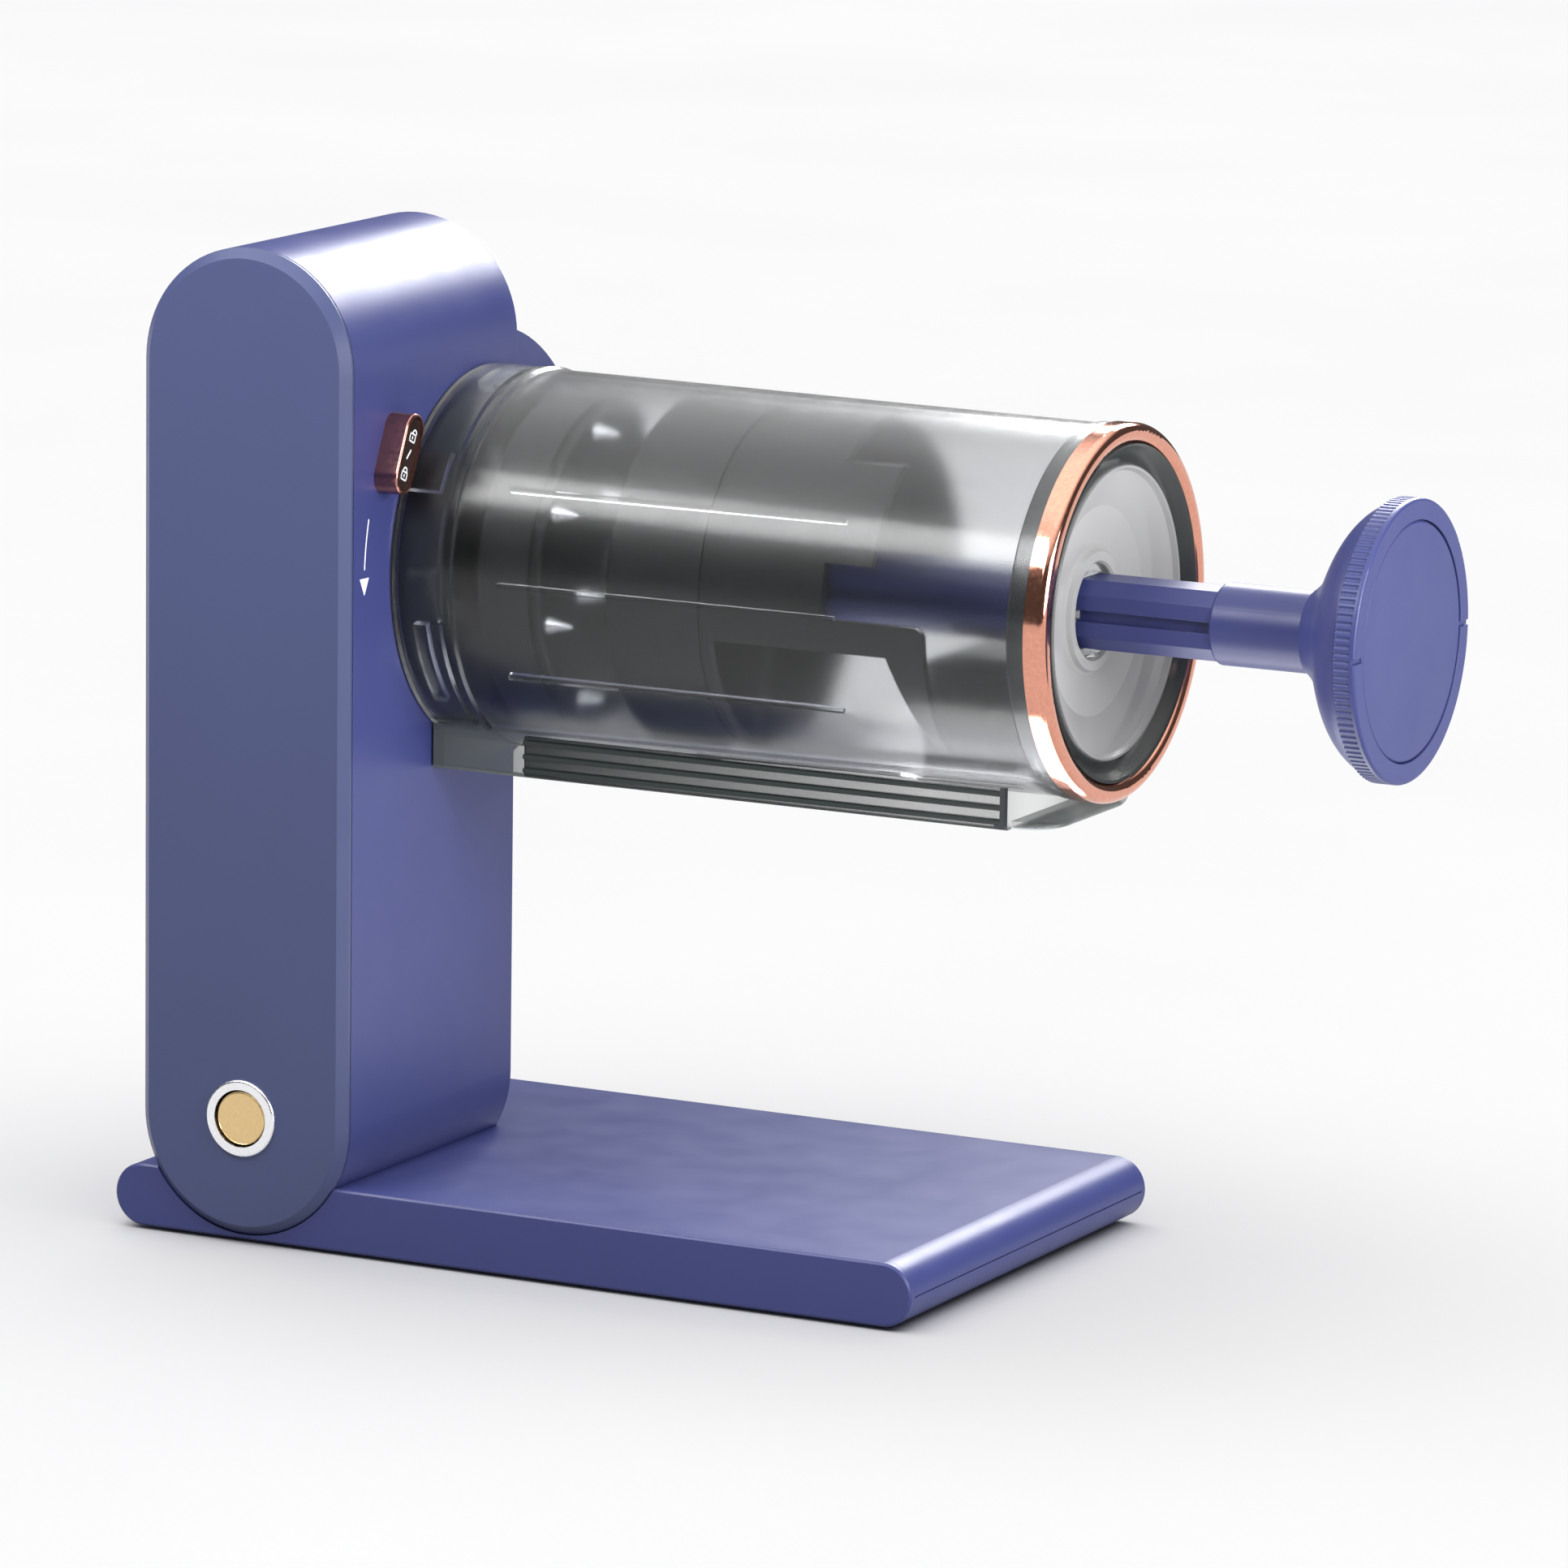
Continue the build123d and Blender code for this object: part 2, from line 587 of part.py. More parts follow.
def column_front_cover():
    """Bevelled front cover with a locating lip and the button's hole."""
    lip_start = COLUMN_FRONT + COVER_THICKNESS
    lip_end = lip_start + COVER_LIP
    cover = stadium(0, COLUMN_FRONT, lip_start)
    cover = chamfer(cover.faces().sort_by(Axis.Y)[0].edges(), COVER_BEVEL)
    cover += stadium(COLUMN_WALL + FIT_GAP, lip_start, lip_end)
    cover -= stadium(COLUMN_WALL + 2.0, lip_start, lip_end + 1)
    return cover - rod_y(BEZEL_RADIUS - 1.0, COLUMN_FRONT - 1, lip_end + 1, COLUMN_X, BUTTON_Z)


def column_parts():
    """Housing, front cover, and the vented rear service panel with its screws."""
    lip_x = (COLUMN_X - PANEL_HALF_WIDTH + PANEL_LIP, COLUMN_X + PANEL_HALF_WIDTH - PANEL_LIP)
    lip_z = (PANEL_LOW + PANEL_LIP, PANEL_HIGH - PANEL_LIP)
    panel = block(
        COLUMN_X - PANEL_HALF_WIDTH, COLUMN_X + PANEL_HALF_WIDTH,
        COLUMN_REAR, COLUMN_REAR + PANEL_THICKNESS, PANEL_LOW, PANEL_HIGH,
    )
    panel = fillet(panel.edges().filter_by(Axis.Y), 5.0)
    lip = block(
        lip_x[0] + FIT_GAP, lip_x[1] - FIT_GAP, COLUMN_REAR - COLUMN_WALL, COLUMN_REAR,
        lip_z[0] + FIT_GAP, lip_z[1] - FIT_GAP,
    )
    panel += lip
    for row in range(VENT_ROWS):
        z = VENT_LOW + VENT_PITCH * row
        slot = block(
            COLUMN_X - VENT_HALF_LENGTH, COLUMN_X + VENT_HALF_LENGTH,
            COLUMN_REAR - 5, COLUMN_REAR + 5, z, z + VENT_HEIGHT,
        )
        panel -= fillet(slot.edges().filter_by(Axis.Y), 1.1)
    panel -= inlet_block(1.4, COLUMN_REAR - 5, COLUMN_REAR + 5, 3.0)
    face = COLUMN_REAR + PANEL_THICKNESS
    screws = []
    for side in (-1, 1):
        for z in (PANEL_LOW + PANEL_SCREW_INSET, PANEL_HIGH - PANEL_SCREW_INSET):
            x = COLUMN_X + side * (PANEL_HALF_WIDTH - PANEL_SCREW_INSET)
            panel -= rod_y(PANEL_SCREW_RADIUS, COLUMN_REAR - 5, COLUMN_REAR + 5, x, z)
            screw = rod_y(2.2, face, face + 1.0, x, z)
            screw += rod_y(PANEL_SCREW_RADIUS, COLUMN_REAR - COLUMN_WALL, face, x, z)
            for wide, tall in ((1.5, CROSS_SLOT / 2), (CROSS_SLOT / 2, 1.5)):
                screw -= block(x - wide, x + wide, face + 0.5, face + 2, z - tall, z + tall)
            screws.append(screw)
    return {
        "column_housing": column_housing(lip_x, lip_z),
        "column_front_cover": column_front_cover(),
        "rear_service_panel": panel,
        "service_panel_screws": group(screws),
    }


def inlet_block(grow, y0, y1, corner):
    """Rounded block on the inlet's outline, grown by the same amount all round."""
    half = INLET_LENGTH / 2 + grow
    tall = INLET_HEIGHT / 2 + grow
    shape = block(COLUMN_X - half, COLUMN_X + half, y0, y1, INLET_Z - tall, INLET_Z + tall)
    return fillet(shape.edges().filter_by(Axis.Y), corner)


def inlet():
    """Two-pin power socket, open to the rear."""
    y0 = COLUMN_REAR - 12.0
    flange_y = COLUMN_REAR + PANEL_THICKNESS
    y1 = flange_y + 0.6
    body = inlet_block(1.2, y0, y1, 2.6)
    body += inlet_block(3.0, flange_y, y1, 4.0)
    body -= inlet_block(-0.7, y0 + 3, y1 + 1, 3.8)
    pins = []
    for side in (-INLET_PIN_REACH, INLET_PIN_REACH):
        place = (COLUMN_X + side, INLET_Z)
        body -= rod_y(INLET_PIN_RADIUS, y0 - 1, y0 + 4, *place)
        pins.append(rod_y(INLET_PIN_RADIUS, y0 - 2, y1 - 4, *place))
    return {"power_inlet": body, "inlet_pins": group(pins)}


def button_parts():
    """Bezel, cap with its stem, switch and control board behind the front cover."""
    x, z = COLUMN_X, BUTTON_Z
    back = COLUMN_FRONT + COVER_THICKNESS + COVER_LIP
    bezel = rod_y(BEZEL_RADIUS, COLUMN_FRONT - BEZEL_PROUD, COLUMN_FRONT, x, z)
    bezel = fillet(bezel.edges().sort_by(Axis.Y)[0], 0.7)
    bezel += rod_y(BEZEL_RADIUS - 1.0, COLUMN_FRONT, back, x, z)
    bezel -= rod_y(BEZEL_INNER, COLUMN_FRONT - 2, back + 1, x, z)
    cap = rod_y(CAP_RADIUS, COLUMN_FRONT - CAP_PROUD, COLUMN_FRONT + 4.0, x, z)
    cap = fillet(cap.edges().sort_by(Axis.Y)[0], 0.6)
    switch_front = BOARD_FRONT - 11.0
    cap += rod_y(STEM_RADIUS, COLUMN_FRONT + 3.0, switch_front + 2.0, x, z)
    switch = block(x - 6, x + 6, switch_front, BOARD_FRONT, z - 6, z + 6)
    switch -= rod_y(STEM_RADIUS + 0.1, switch_front - 1, switch_front + 4.5, x, z)
    back_of_board = BOARD_FRONT + BOARD_THICKNESS
    board = block(x - BOARD_HALF_WIDTH, x + BOARD_HALF_WIDTH, BOARD_FRONT, back_of_board, 34, 68)
    board += block(x - 15, x + 15, BOARD_FRONT, back_of_board, 22, 36)
    parts = [board]
    parts.append(rod_y(5.0, back_of_board, BOARD_FRONT + 14, x + 14, 42))
    parts.append(rod_y(4.0, back_of_board, BOARD_FRONT + 12, x - 14, 42))
    parts.append(block(x - 9, x + 5, back_of_board, BOARD_FRONT + 9, 40, 50))
    return {
        "button_bezel": bezel,
        "button_cap": cap,
        "button_switch": switch,
        "control_board": group(parts),
    }


def badge_parts():
    """Oval lock badge on the column's right face: a rimmed pod and its dark face."""
    y, z = polar(*BADGE_PLACE)
    plane = Plane(origin=(COLUMN_RIGHT, y, z), x_dir=(0, 1, 0), z_dir=(1, 0, 0))
    turn = 90 + BADGE_LEAN
    outline = SlotOverall(BADGE_LENGTH, BADGE_WIDTH, rotation=turn)
    pod = extrude(plane * outline, amount=BADGE_HEIGHT)
    pod = fillet(pod.faces().sort_by(Axis.X)[-1].edges(), 0.5)
    inside = SlotOverall(BADGE_LENGTH - 2 * BADGE_RIM, BADGE_WIDTH - 2 * BADGE_RIM, rotation=turn)
    hollow = plane.offset(BADGE_HEIGHT - BADGE_POCKET) * inside
    pod -= extrude(hollow, amount=BADGE_POCKET + 1)
    face = extrude(hollow, amount=BADGE_POCKET - BADGE_RECESS)
    return {"lock_badge_rim": pod, "lock_badge_face": face}


# ---------------------------------------------------------------- drum mount and drive
def mount_parts():
    """Bayonet ring, its screws, output bush, shaft seal and drum gasket."""
    ring = tube_x(MOUNT_RING_OUTER, SEAL_RADIUS, *WEB_X)
    ring += tube_x(MOUNT_RING_OUTER, MOUNT_RING_INNER, WEB_X[0], MOUNT_RING_END)
    for turn in LUG_ANGLES:
        lug = tube_x(RING_LUG_RADIUS, MOUNT_RING_OUTER - 0.5, *RING_LUG_X)
        ring += about_axis(lug & wedge(LUG_SPAN, *RING_LUG_X), turn)
    screws = []
    for turn in LUG_ANGLES:
        place = polar(RING_SCREW_CIRCLE, turn)
        ring -= rod_x(SCREW_RADIUS, WEB_X[0] - 1, WEB_X[1] + 1, place)
        head = rod_x(2.8, WEB_X[1], WEB_X[1] + 1.8, place)
        screws.append(head + rod_x(SCREW_RADIUS, COLUMN_RIGHT - 8, WEB_X[1], place))
    bush = tube_x(SEAL_RADIUS, OUTPUT_SHAFT_RADIUS + SHAFT_CLEARANCE, COLUMN_RIGHT - 9, COLUMN_RIGHT)
    flange_x = (COLUMN_RIGHT - COLUMN_WALL - 3, COLUMN_RIGHT - COLUMN_WALL)
    bush += tube_x(15.0, SEAL_RADIUS - 1, *flange_x)
    seal = tube_x(SEAL_RADIUS, OUTPUT_SHAFT_RADIUS + 0.1, WEB_X[0], WEB_X[1])
    gasket = tube_x(COLLAR_RADIUS - 0.3, 47.5, COLUMN_RIGHT, COLUMN_RIGHT + 0.4)
    return {
        "drum_mount_ring": ring,
        "mount_ring_screws": group(screws),
        "output_bush": bush,
        "shaft_seal": seal,
        "drum_gasket": gasket,
    }


def drive_parts():
    """Output shaft, hub, plate with spikes, and the nut that holds them."""
    shaft = rod_x(OUTPUT_SHAFT_RADIUS, PLATE_LEFT_X[0], PLATE_X[1] + 7)
    bore = OUTPUT_SHAFT_RADIUS
    x0, x1 = HUB_X
    hub = turned([
        (x0, bore), (x0, 14), (-86, 16), (-82, 30), (-80, 40), (-78, HUB_RADIUS), (x1, HUB_RADIUS),
        (x1, HUB_RADIUS - 3), (-76, HUB_RADIUS - 4), (-78, 28), (-80, 18), (x1, 18), (x1, bore),
    ])
    plate = tube_x(PLATE_RADIUS, bore, *PLATE_X)
    plate = fillet(outer_right_edge(plate), 1.0)
    spikes = []
    for count, radius in SPIKE_RINGS:
        for step in range(count):
            place = polar(radius, 360 / count * step + SPIKE_TURN)
            plate -= rod_x(SPIKE_RADIUS, PLATE_X[0] - 1, PLATE_X[1] + 1, place)
            shank = rod_x(SPIKE_RADIUS, *PLATE_X, place)
            point = Cone(
                SPIKE_RADIUS, SPIKE_TIP, SPIKE_LENGTH,
                align=(Align.CENTER, Align.CENTER, Align.MIN),
            )
            spikes.append(shank + Pos(PLATE_X[1], place[0], place[1]) * Rot(0, 90, 0) * point)
    hexagon = Pos(AXIS_Y, AXIS_Z) * RegularPolygon(8.0, 6)
    nut = extrude(Plane.YZ.offset(PLATE_X[1]) * hexagon, amount=5)
    nut -= rod_x(bore, PLATE_X[1] - 1, PLATE_X[1] + 6)
    return {
        "output_shaft": shaft,
        "drive_hub": hub,
        "drive_plate": plate,
        "drive_spikes": group(spikes),
        "drive_nut": nut,
    }


# ---------------------------------------------------------------- drum
def barrel_envelope():
    """Solid bounded by the barrel's outside."""
    return turned([
        (BARREL_LEFT, 0), (BARREL_LEFT, COLLAR_RADIUS), (COLLAR_RIGHT, COLLAR_RADIUS),
        (COLLAR_RIGHT + 0.6, BARREL_RADIUS_LEFT - 0.6), (COLLAR_RIGHT + 1.8, BARREL_RADIUS_LEFT - 0.6),
        (COLLAR_RIGHT + 2.4, BEAD_RADIUS), (COLLAR_RIGHT + 4.0, BEAD_RADIUS),
        (COLLAR_RIGHT + 4.8, BARREL_RADIUS_LEFT), (RIM_LEFT - 0.6, BARREL_RADIUS_RIGHT),
        (RIM_LEFT, RIM_RADIUS), (BARREL_RIGHT, RIM_RADIUS), (BARREL_RIGHT, 0),
    ])


def barrel_inner(x):
    """Radius of the drum's tapered inner wall at a station along X."""
    slope = (BARREL_INNER_LEFT - BARREL_INNER_RIGHT) / (BARREL_RIGHT - COLLAR_RIGHT - 3)
    return BARREL_INNER_LEFT - slope * (x - COLLAR_RIGHT - 4)


def barrel():
    """Clear drum with collar, bayonet lugs, index tab, guide ribs and the ice slot."""
    hollow = turned([
        (BARREL_LEFT - 1, 0), (BARREL_LEFT - 1, COLLAR_INNER), (COLLAR_RIGHT + 3, COLLAR_INNER),
        (COLLAR_RIGHT + 4, BARREL_INNER_LEFT), (BARREL_RIGHT + 1, BARREL_INNER_RIGHT),
        (BARREL_RIGHT + 1, 0),
    ])
    shell = barrel_envelope() - hollow
    for turn in LUG_ANGLES:
        lug = tube_x(COLLAR_INNER + 0.5, DRUM_LUG_INNER, *DRUM_LUG_X)
        shell += about_axis(lug & wedge(LUG_SPAN, *DRUM_LUG_X), turn)
    x0 = COLLAR_RIGHT - TAB_LENGTH - 1.0
    half = TAB_WIDTH / 2
    tab = block(x0, COLLAR_RIGHT - 1.0, AXIS_Y, AXIS_Y + TAB_OUTER, AXIS_Z - half, AXIS_Z + half)
    tab -= rod_x(COLLAR_RADIUS - 0.8, x0 - 1, COLLAR_RIGHT)
    tab = fillet(tab.edges().filter_by(Axis.X).group_by(Axis.Y)[-1], 0.8)
    shell += about_axis(tab, TAB_ANGLE)
    reach = barrel_inner(RIB_X[1])
    for turn in RIB_ANGLES:
        rib = block(
            RIB_X[0], RIB_X[1], AXIS_Y + reach - RIB_HEIGHT, AXIS_Y + reach + 1.2,
            AXIS_Z - RIB_WIDTH / 2, AXIS_Z + RIB_WIDTH / 2,
        )
        shell += about_axis(rib, turn)
    slot = block(
        SLOT_X[0], SLOT_X[1], AXIS_Y - SLOT_HALF_WIDTH, AXIS_Y + SLOT_HALF_WIDTH,
        CHUTE_BOTTOM - 9, AXIS_Z - 20,
    )
    return shell - fillet(slot.edges().filter_by(Axis.Z), 5.0)


def trim_ring():
    """Rose-gold ring with a rounded section on the drum's right end."""
    x0, x1 = TRIM_X
    plane = Plane(origin=(0, AXIS_Y, AXIS_Z), x_dir=(1, 0, 0), z_dir=(0, -1, 0))
    corners = [(x0, TRIM_INNER), (x0, TRIM_OUTER), (x1, TRIM_OUTER), (x1, TRIM_INNER)]
    outline = make_face(Polyline(*corners, close=True))
    outline = fillet(outline.vertices().group_by(Axis.X)[-1], 2.4)
    return revolve(plane * outline, Axis((0, AXIS_Y, AXIS_Z), (1, 0, 0)), 360)


def end_cap():
    """Dished cap with a conical wall, a lip and a raised rim round the rod's hole."""
    seat = BARREL_INNER_RIGHT - 0.02
    return turned([
        (BARREL_RIGHT, seat), (BARREL_RIGHT - 6, seat), (BARREL_RIGHT - 6, CAP_OUTER - 3.2),
        (BARREL_RIGHT - 1, 38.0), (80.8, 28.0), (79.2, 17.5), (CAP_LEFT, 17.5), (CAP_LEFT, HUB_HOLE),
        (82.8, HUB_HOLE), (83.4, 13.3), (83.4, 15.8), (82.2, 16.4), (81.6, 17.6), (83.4, 28.0),
        (88.2, 37.6), (89.4, 38.4), (89.6, 39.0), (88.8, 39.6), (86.6, 40.4), (91.0, 44.2),
        (91.6, CAP_OUTER),
        (BARREL_RIGHT, CAP_OUTER),
    ])


def rod_section(grow):
    """Keyed outline of the plunger's rod: bevelled square with a groove in each side."""
    half = ROD_HALF_HEIGHT + grow
    corner = ROD_CORNER
    outline = Rectangle(2 * half, 2 * half)
    outline = chamfer(outline.vertices(), corner)
    groove_width = ROD_GROOVE_WIDTH - 2 * grow
    for side in (-1, 1):
        groove = Rectangle(ROD_GROOVE_DEPTH, groove_width)
        outline -= Pos(side * (half - ROD_GROOVE_DEPTH / 2), 0) * groove
    return outline


def rod_prism(x0, x1, grow=0.0):
    """The rod's keyed section as a prism on the drum's axis."""
    outline = Plane.YZ.offset(x0) * (Pos(AXIS_Y, AXIS_Z) * rod_section(grow))
    return extrude(outline, amount=x1 - x0)


def guide_bush():
    """Keyed bush that stops the rod from turning."""
    bush = rod_x(HUB_HOLE, CAP_LEFT, 82.0) + rod_x(17.0, CAP_LEFT - 2.5, CAP_LEFT)
    return bush - rod_prism(CAP_LEFT - 4, 84, ROD_GUIDE_GAP)


def chute_parts():
    """Box walls and rounded nose under the drum, with ribbed side rails and dark end stops."""
    y0, y1 = AXIS_Y - CHUTE_HALF_WIDTH, AXIS_Y + CHUTE_HALF_WIDTH
    high = AXIS_Z - 30
    envelope = barrel_envelope()
    walls = block(CHUTE_LEFT, CHUTE_RIGHT, y0, y1, CHUTE_BOTTOM, high)
    walls -= block(
        CHUTE_LEFT + CHUTE_WALL, CHUTE_RIGHT + 1, y0 + CHUTE_WALL, y1 - CHUTE_WALL,
        CHUTE_BOTTOM - 1, high + 1,
    )
    nose = block(CHUTE_RIGHT, NOSE_RIGHT, y0, y1, CHUTE_BOTTOM, high)
    nose = fillet(nose.edges().filter_by(Axis.Z).group_by(Axis.X)[-1], NOSE_CORNER)
    sole = nose.faces().sort_by(Axis.Z)[0]
    nose = fillet(sole.edges() - sole.edges().filter_by(Axis.Y).sort_by(Axis.X)[0:1], NOSE_SOLE / 2)
    inside = block(
        CHUTE_RIGHT - 1, NOSE_RIGHT - CHUTE_WALL, y0 + CHUTE_WALL, y1 - CHUTE_WALL,
        CHUTE_BOTTOM + CHUTE_WALL, high + 1,
    )
    nose -= fillet(inside.edges().filter_by(Axis.Z).group_by(Axis.X)[-1], NOSE_CORNER - CHUTE_WALL)
    chute = walls + nose - envelope
    rails = []
    stops = []
    end = RAIL_X[1]
    low, top = RAIL_Z
    for side in (-1, 1):
        face = AXIS_Y + side * CHUTE_HALF_WIDTH
        flat_y = sorted((face, face + side * RAIL_DEPTH))
        proud_y = sorted((face, face + side * (RAIL_DEPTH + RAIL_RIB)))
        rail = block(*RAIL_X, *flat_y, low, top)
        for z in RAIL_RIBS_Z:
            rail += block(*RAIL_X, *proud_y, z - 0.6, z + 0.6)
        rails.append(rail - envelope)
        post = block(end, end + 1.4, *proud_y, low, top)
        post += block(end - 1.6, end, *proud_y, low, low + 1.8) - rail
        stops.append(post - envelope)
    return {"chute": chute, "chute_side_rails": group(rails), "chute_end_stops": group(stops)}


def deflector():
    """Ribbed stop behind the falling ice, seated on the drum's lower wall and open to the rear."""
    x0, x1 = DEFLECTOR_X
    wall = DEFLECTOR_WALL
    top = AXIS_Z - DEFLECTOR_DROP
    floor = AXIS_Z - BARREL_INNER_LEFT

    def insert(left, right, inset):
        """Drum's inside between two stations, cut to the deflector's width and height."""
        seat_left = barrel_inner(left) - 0.02 - inset
        seat_right = barrel_inner(right) - 0.02 - inset
        inside = turned([(left, 0), (left, seat_left), (right, seat_right), (right, 0)])
        half = DEFLECTOR_HALF_WIDTH - inset
        return inside & block(left, right, AXIS_Y - half, AXIS_Y + half, floor, top - inset)

    shell = insert(x0, x1, 0)
    shell = fillet(shell.edges().filter_by(Axis.Z).group_by(Axis.X)[0], 3.0)
    shell -= insert(x0 + wall, x1 + 1, wall)
    front = AXIS_Y - DEFLECTOR_HALF_WIDTH
    for x in DEFLECTOR_RIBS_X:
        rib = block(x - 0.8, x + 0.8, front - 0.9, front, floor + 8, top - 3)
        shell += rib + mirror(rib, Plane.XZ.offset(-AXIS_Y))
    return shell


# ---------------------------------------------------------------- blade head and plunger
def hood_side(visor):
    """Side outline of the hood with its arm and leg, cut through the front half of the head."""
    left, right = HOOD_X
    corners = [
        (left, HOOD_LOW), (LEG_TOP_X, HOOD_LOW), (LEG_FOOT_X, LEG_LOW), (ARM_RIGHT, LEG_LOW),
        (ARM_RIGHT, ARM_HIGH),
    ]
    if visor:
        corners += [
            (VISOR_X[0], ARM_HIGH), (VISOR_X[0], VISOR_Z[0]), (VISOR_X[1], VISOR_Z[0]),
            (VISOR_X[1], VISOR_Z[1]), (left, VISOR_Z[1]),
        ]
    else:
        corners += [(right, ARM_HIGH), (right, VISOR_Z[1]), (left, VISOR_Z[1])]
    outline = make_face(Plane.XZ.offset(-AXIS_Y) * Polyline(*corners, close=True))
    side = extrude(outline, amount=60, dir=(0, -1, 0))
    shoulder = side.edges().filter_by(Axis.Y).sort_by_distance((ARM_RIGHT, AXIS_Y, ARM_HIGH))[0]
    return fillet(shoulder, ARM_CORNER)


def head_parts():
    """Cup with the blade slot, blade, screws, and the half-round hood behind it."""
    x0, x1 = HEAD_X
    cup = rod_x(HEAD_RADIUS, x0, x1)
    cup = fillet(cup.edges().filter_by(GeomType.CIRCLE).sort_by(Axis.X)[0], 1.5)
    cup -= rod_x(HEAD_RADIUS - HEAD_WALL, x0 + HEAD_FACE, x1 + 1)
    cup -= tube_x(HEAD_RADIUS + 1, HEAD_RADIUS - 0.6, x1 - 3.0, x1 - 1.8)
    hub = rod_x(SOCKET_RADIUS, x0 + HEAD_FACE, x1)
    for step in range(3):
        spoke = block(
            x0 + HEAD_FACE, x1 - 4, AXIS_Y, AXIS_Y + HEAD_RADIUS - 1,
            AXIS_Z - HEAD_RIB / 2, AXIS_Z + HEAD_RIB / 2,
        )
        hub += about_axis(spoke, 120 * step + 20)
    cup += hub
    half_slot = BLADE_SLOT_WIDTH / 2
    slot = block(
        x0 - 1, x0 + HEAD_FACE + 12, AXIS_Y + BLADE_SLOT[0], AXIS_Y + BLADE_SLOT[1],
        AXIS_Z - half_slot, AXIS_Z + half_slot,
    )
    cup -= about_axis(slot, BLADE_ANGLE)
    cup -= rod_prism(ROD_X[0], x1 + 1)
    tilt = Rot(0, -BLADE_TILT, 0)
    blade = Pos(x0, AXIS_Y + 27, AXIS_Z - 1.0) * tilt * Pos(5.2, 0, 0) * Box(11.6, 25.0, 1.0)
    blade = about_axis(blade, BLADE_ANGLE)
    cup -= blade
    screws = []
    for reach in (20.0, 34.0):
        screw = Cylinder(2.2, 1.2, align=(Align.CENTER, Align.CENTER, Align.MIN))
        screw = Pos(x0 + 6.8, AXIS_Y + reach, AXIS_Z + 2.7) * tilt * screw
        screws.append(about_axis(screw, BLADE_ANGLE))
    hood = tube_x(HEAD_RADIUS, HEAD_RADIUS - HOOD_WALL, HOOD_X[0], ARM_RIGHT)
    front = hood_side(True)
    rear = mirror(hood_side(False), Plane.XZ.offset(-AXIS_Y))
    hood &= front + rear + block(*HOOD_X, -80, 80, VISOR_Z[1], AXIS_Z + 60)
    for turn in (50, 130):
        spine = block(
            HOOD_X[0], HOOD_X[0] + 6.0, AXIS_Y + SOCKET_RADIUS - 0.5, AXIS_Y + HEAD_RADIUS - 1.5,
            AXIS_Z - HEAD_RIB / 2, AXIS_Z + HEAD_RIB / 2,
        )
        hood += about_axis(spine, turn)
    hood += rod_x(SOCKET_RADIUS, HOOD_X[0], SOCKET_RIGHT)
    hood -= rod_prism(HOOD_X[0] - 1, SOCKET_RIGHT + 1)
    return {
        "blade_head_cup": cup,
        "blade": blade,
        "blade_screws": group(screws),
        "blade_head_hood": hood,
    }


def plunger_parts():
    """Keyed rod, sleeve, and the knob's back, rim, front disc and screw."""
    rod = rod_prism(*ROD_X)
    sleeve = rod_x(SLEEVE_RADIUS, *SLEEVE_X)
    sleeve = fillet(sleeve.edges().filter_by(GeomType.CIRCLE).sort_by(Axis.X)[0], 0.8)
    sleeve -= rod_prism(SLEEVE_X[0] - 1, SLEEVE_X[1] + 1)
    plane = Plane(origin=(0, AXIS_Y, AXIS_Z), x_dir=(1, 0, 0), z_dir=(0, -1, 0))
    x0 = SLEEVE_X[1]
    seam = KNOB_SEAM
    neck = (x0, SLEEVE_RADIUS + 0.4)
    lip = (seam - 0.4, KNOB_RADIUS - 1.2)
    back_curve = Spline(neck, (153.0, 19.0), (160.6, 31.6), lip)
    back_edge = Polyline(lip, (seam, KNOB_RADIUS - 1.2), (seam, 0), (x0, 0), neck)
    back = make_face([back_curve.edge()] + list(back_edge.edges()))
    back = revolve(plane * back, Axis((0, AXIS_Y, AXIS_Z), (1, 0, 0)), 360)
    back -= rod_x(30.0, seam - 4, seam + 1)
    back -= rod_x(KNOB_SCREW_RADIUS, x0 - 1, seam)
    rod -= rod_x(KNOB_SCREW_RADIUS, KNOB_SCREW_LEFT, ROD_X[1] + 1)
    screw = rod_x(KNOB_SCREW_RADIUS, KNOB_SCREW_LEFT, seam - 4) + rod_x(4.0, seam - 4, seam - 1.5)
    rim = tube_x(KNOB_RADIUS, INSET_RADIUS + 0.2, seam + SEAM_GAP, KNOB_FRONT)
    rim = fillet(outer_right_edge(rim), 0.8)
    for step in range(KNURLS):
        place = polar(KNOB_RADIUS - KNURL_DEPTH + KNURL_CUTTER, 360 / KNURLS * step)
        rim -= rod_x(KNURL_CUTTER, seam, KNOB_FRONT - 1.6, place)
    rim += tube_x(INSET_RADIUS + 1.5, INSET_RADIUS - 3, seam, seam + 3)
    for turn in (0, 180):
        notch = block(
            KNOB_FRONT - 0.8, KNOB_FRONT + 1, AXIS_Y + INSET_RADIUS, AXIS_Y + KNOB_RADIUS + 1,
            AXIS_Z - 0.7, AXIS_Z + 0.7,
        )
        rim -= about_axis(notch, turn)
    disc = rod_x(INSET_RADIUS, seam + 3, KNOB_FRONT - 0.2)
    disc = chamfer(disc.edges().filter_by(GeomType.CIRCLE).sort_by(Axis.X)[-1], 0.5)
    return {
        "plunger_rod": rod,
        "plunger_sleeve": sleeve,
        "knob_back": back,
        "knob_rim": rim,
        "knob_front_disc": disc,
        "knob_screw": screw,
    }


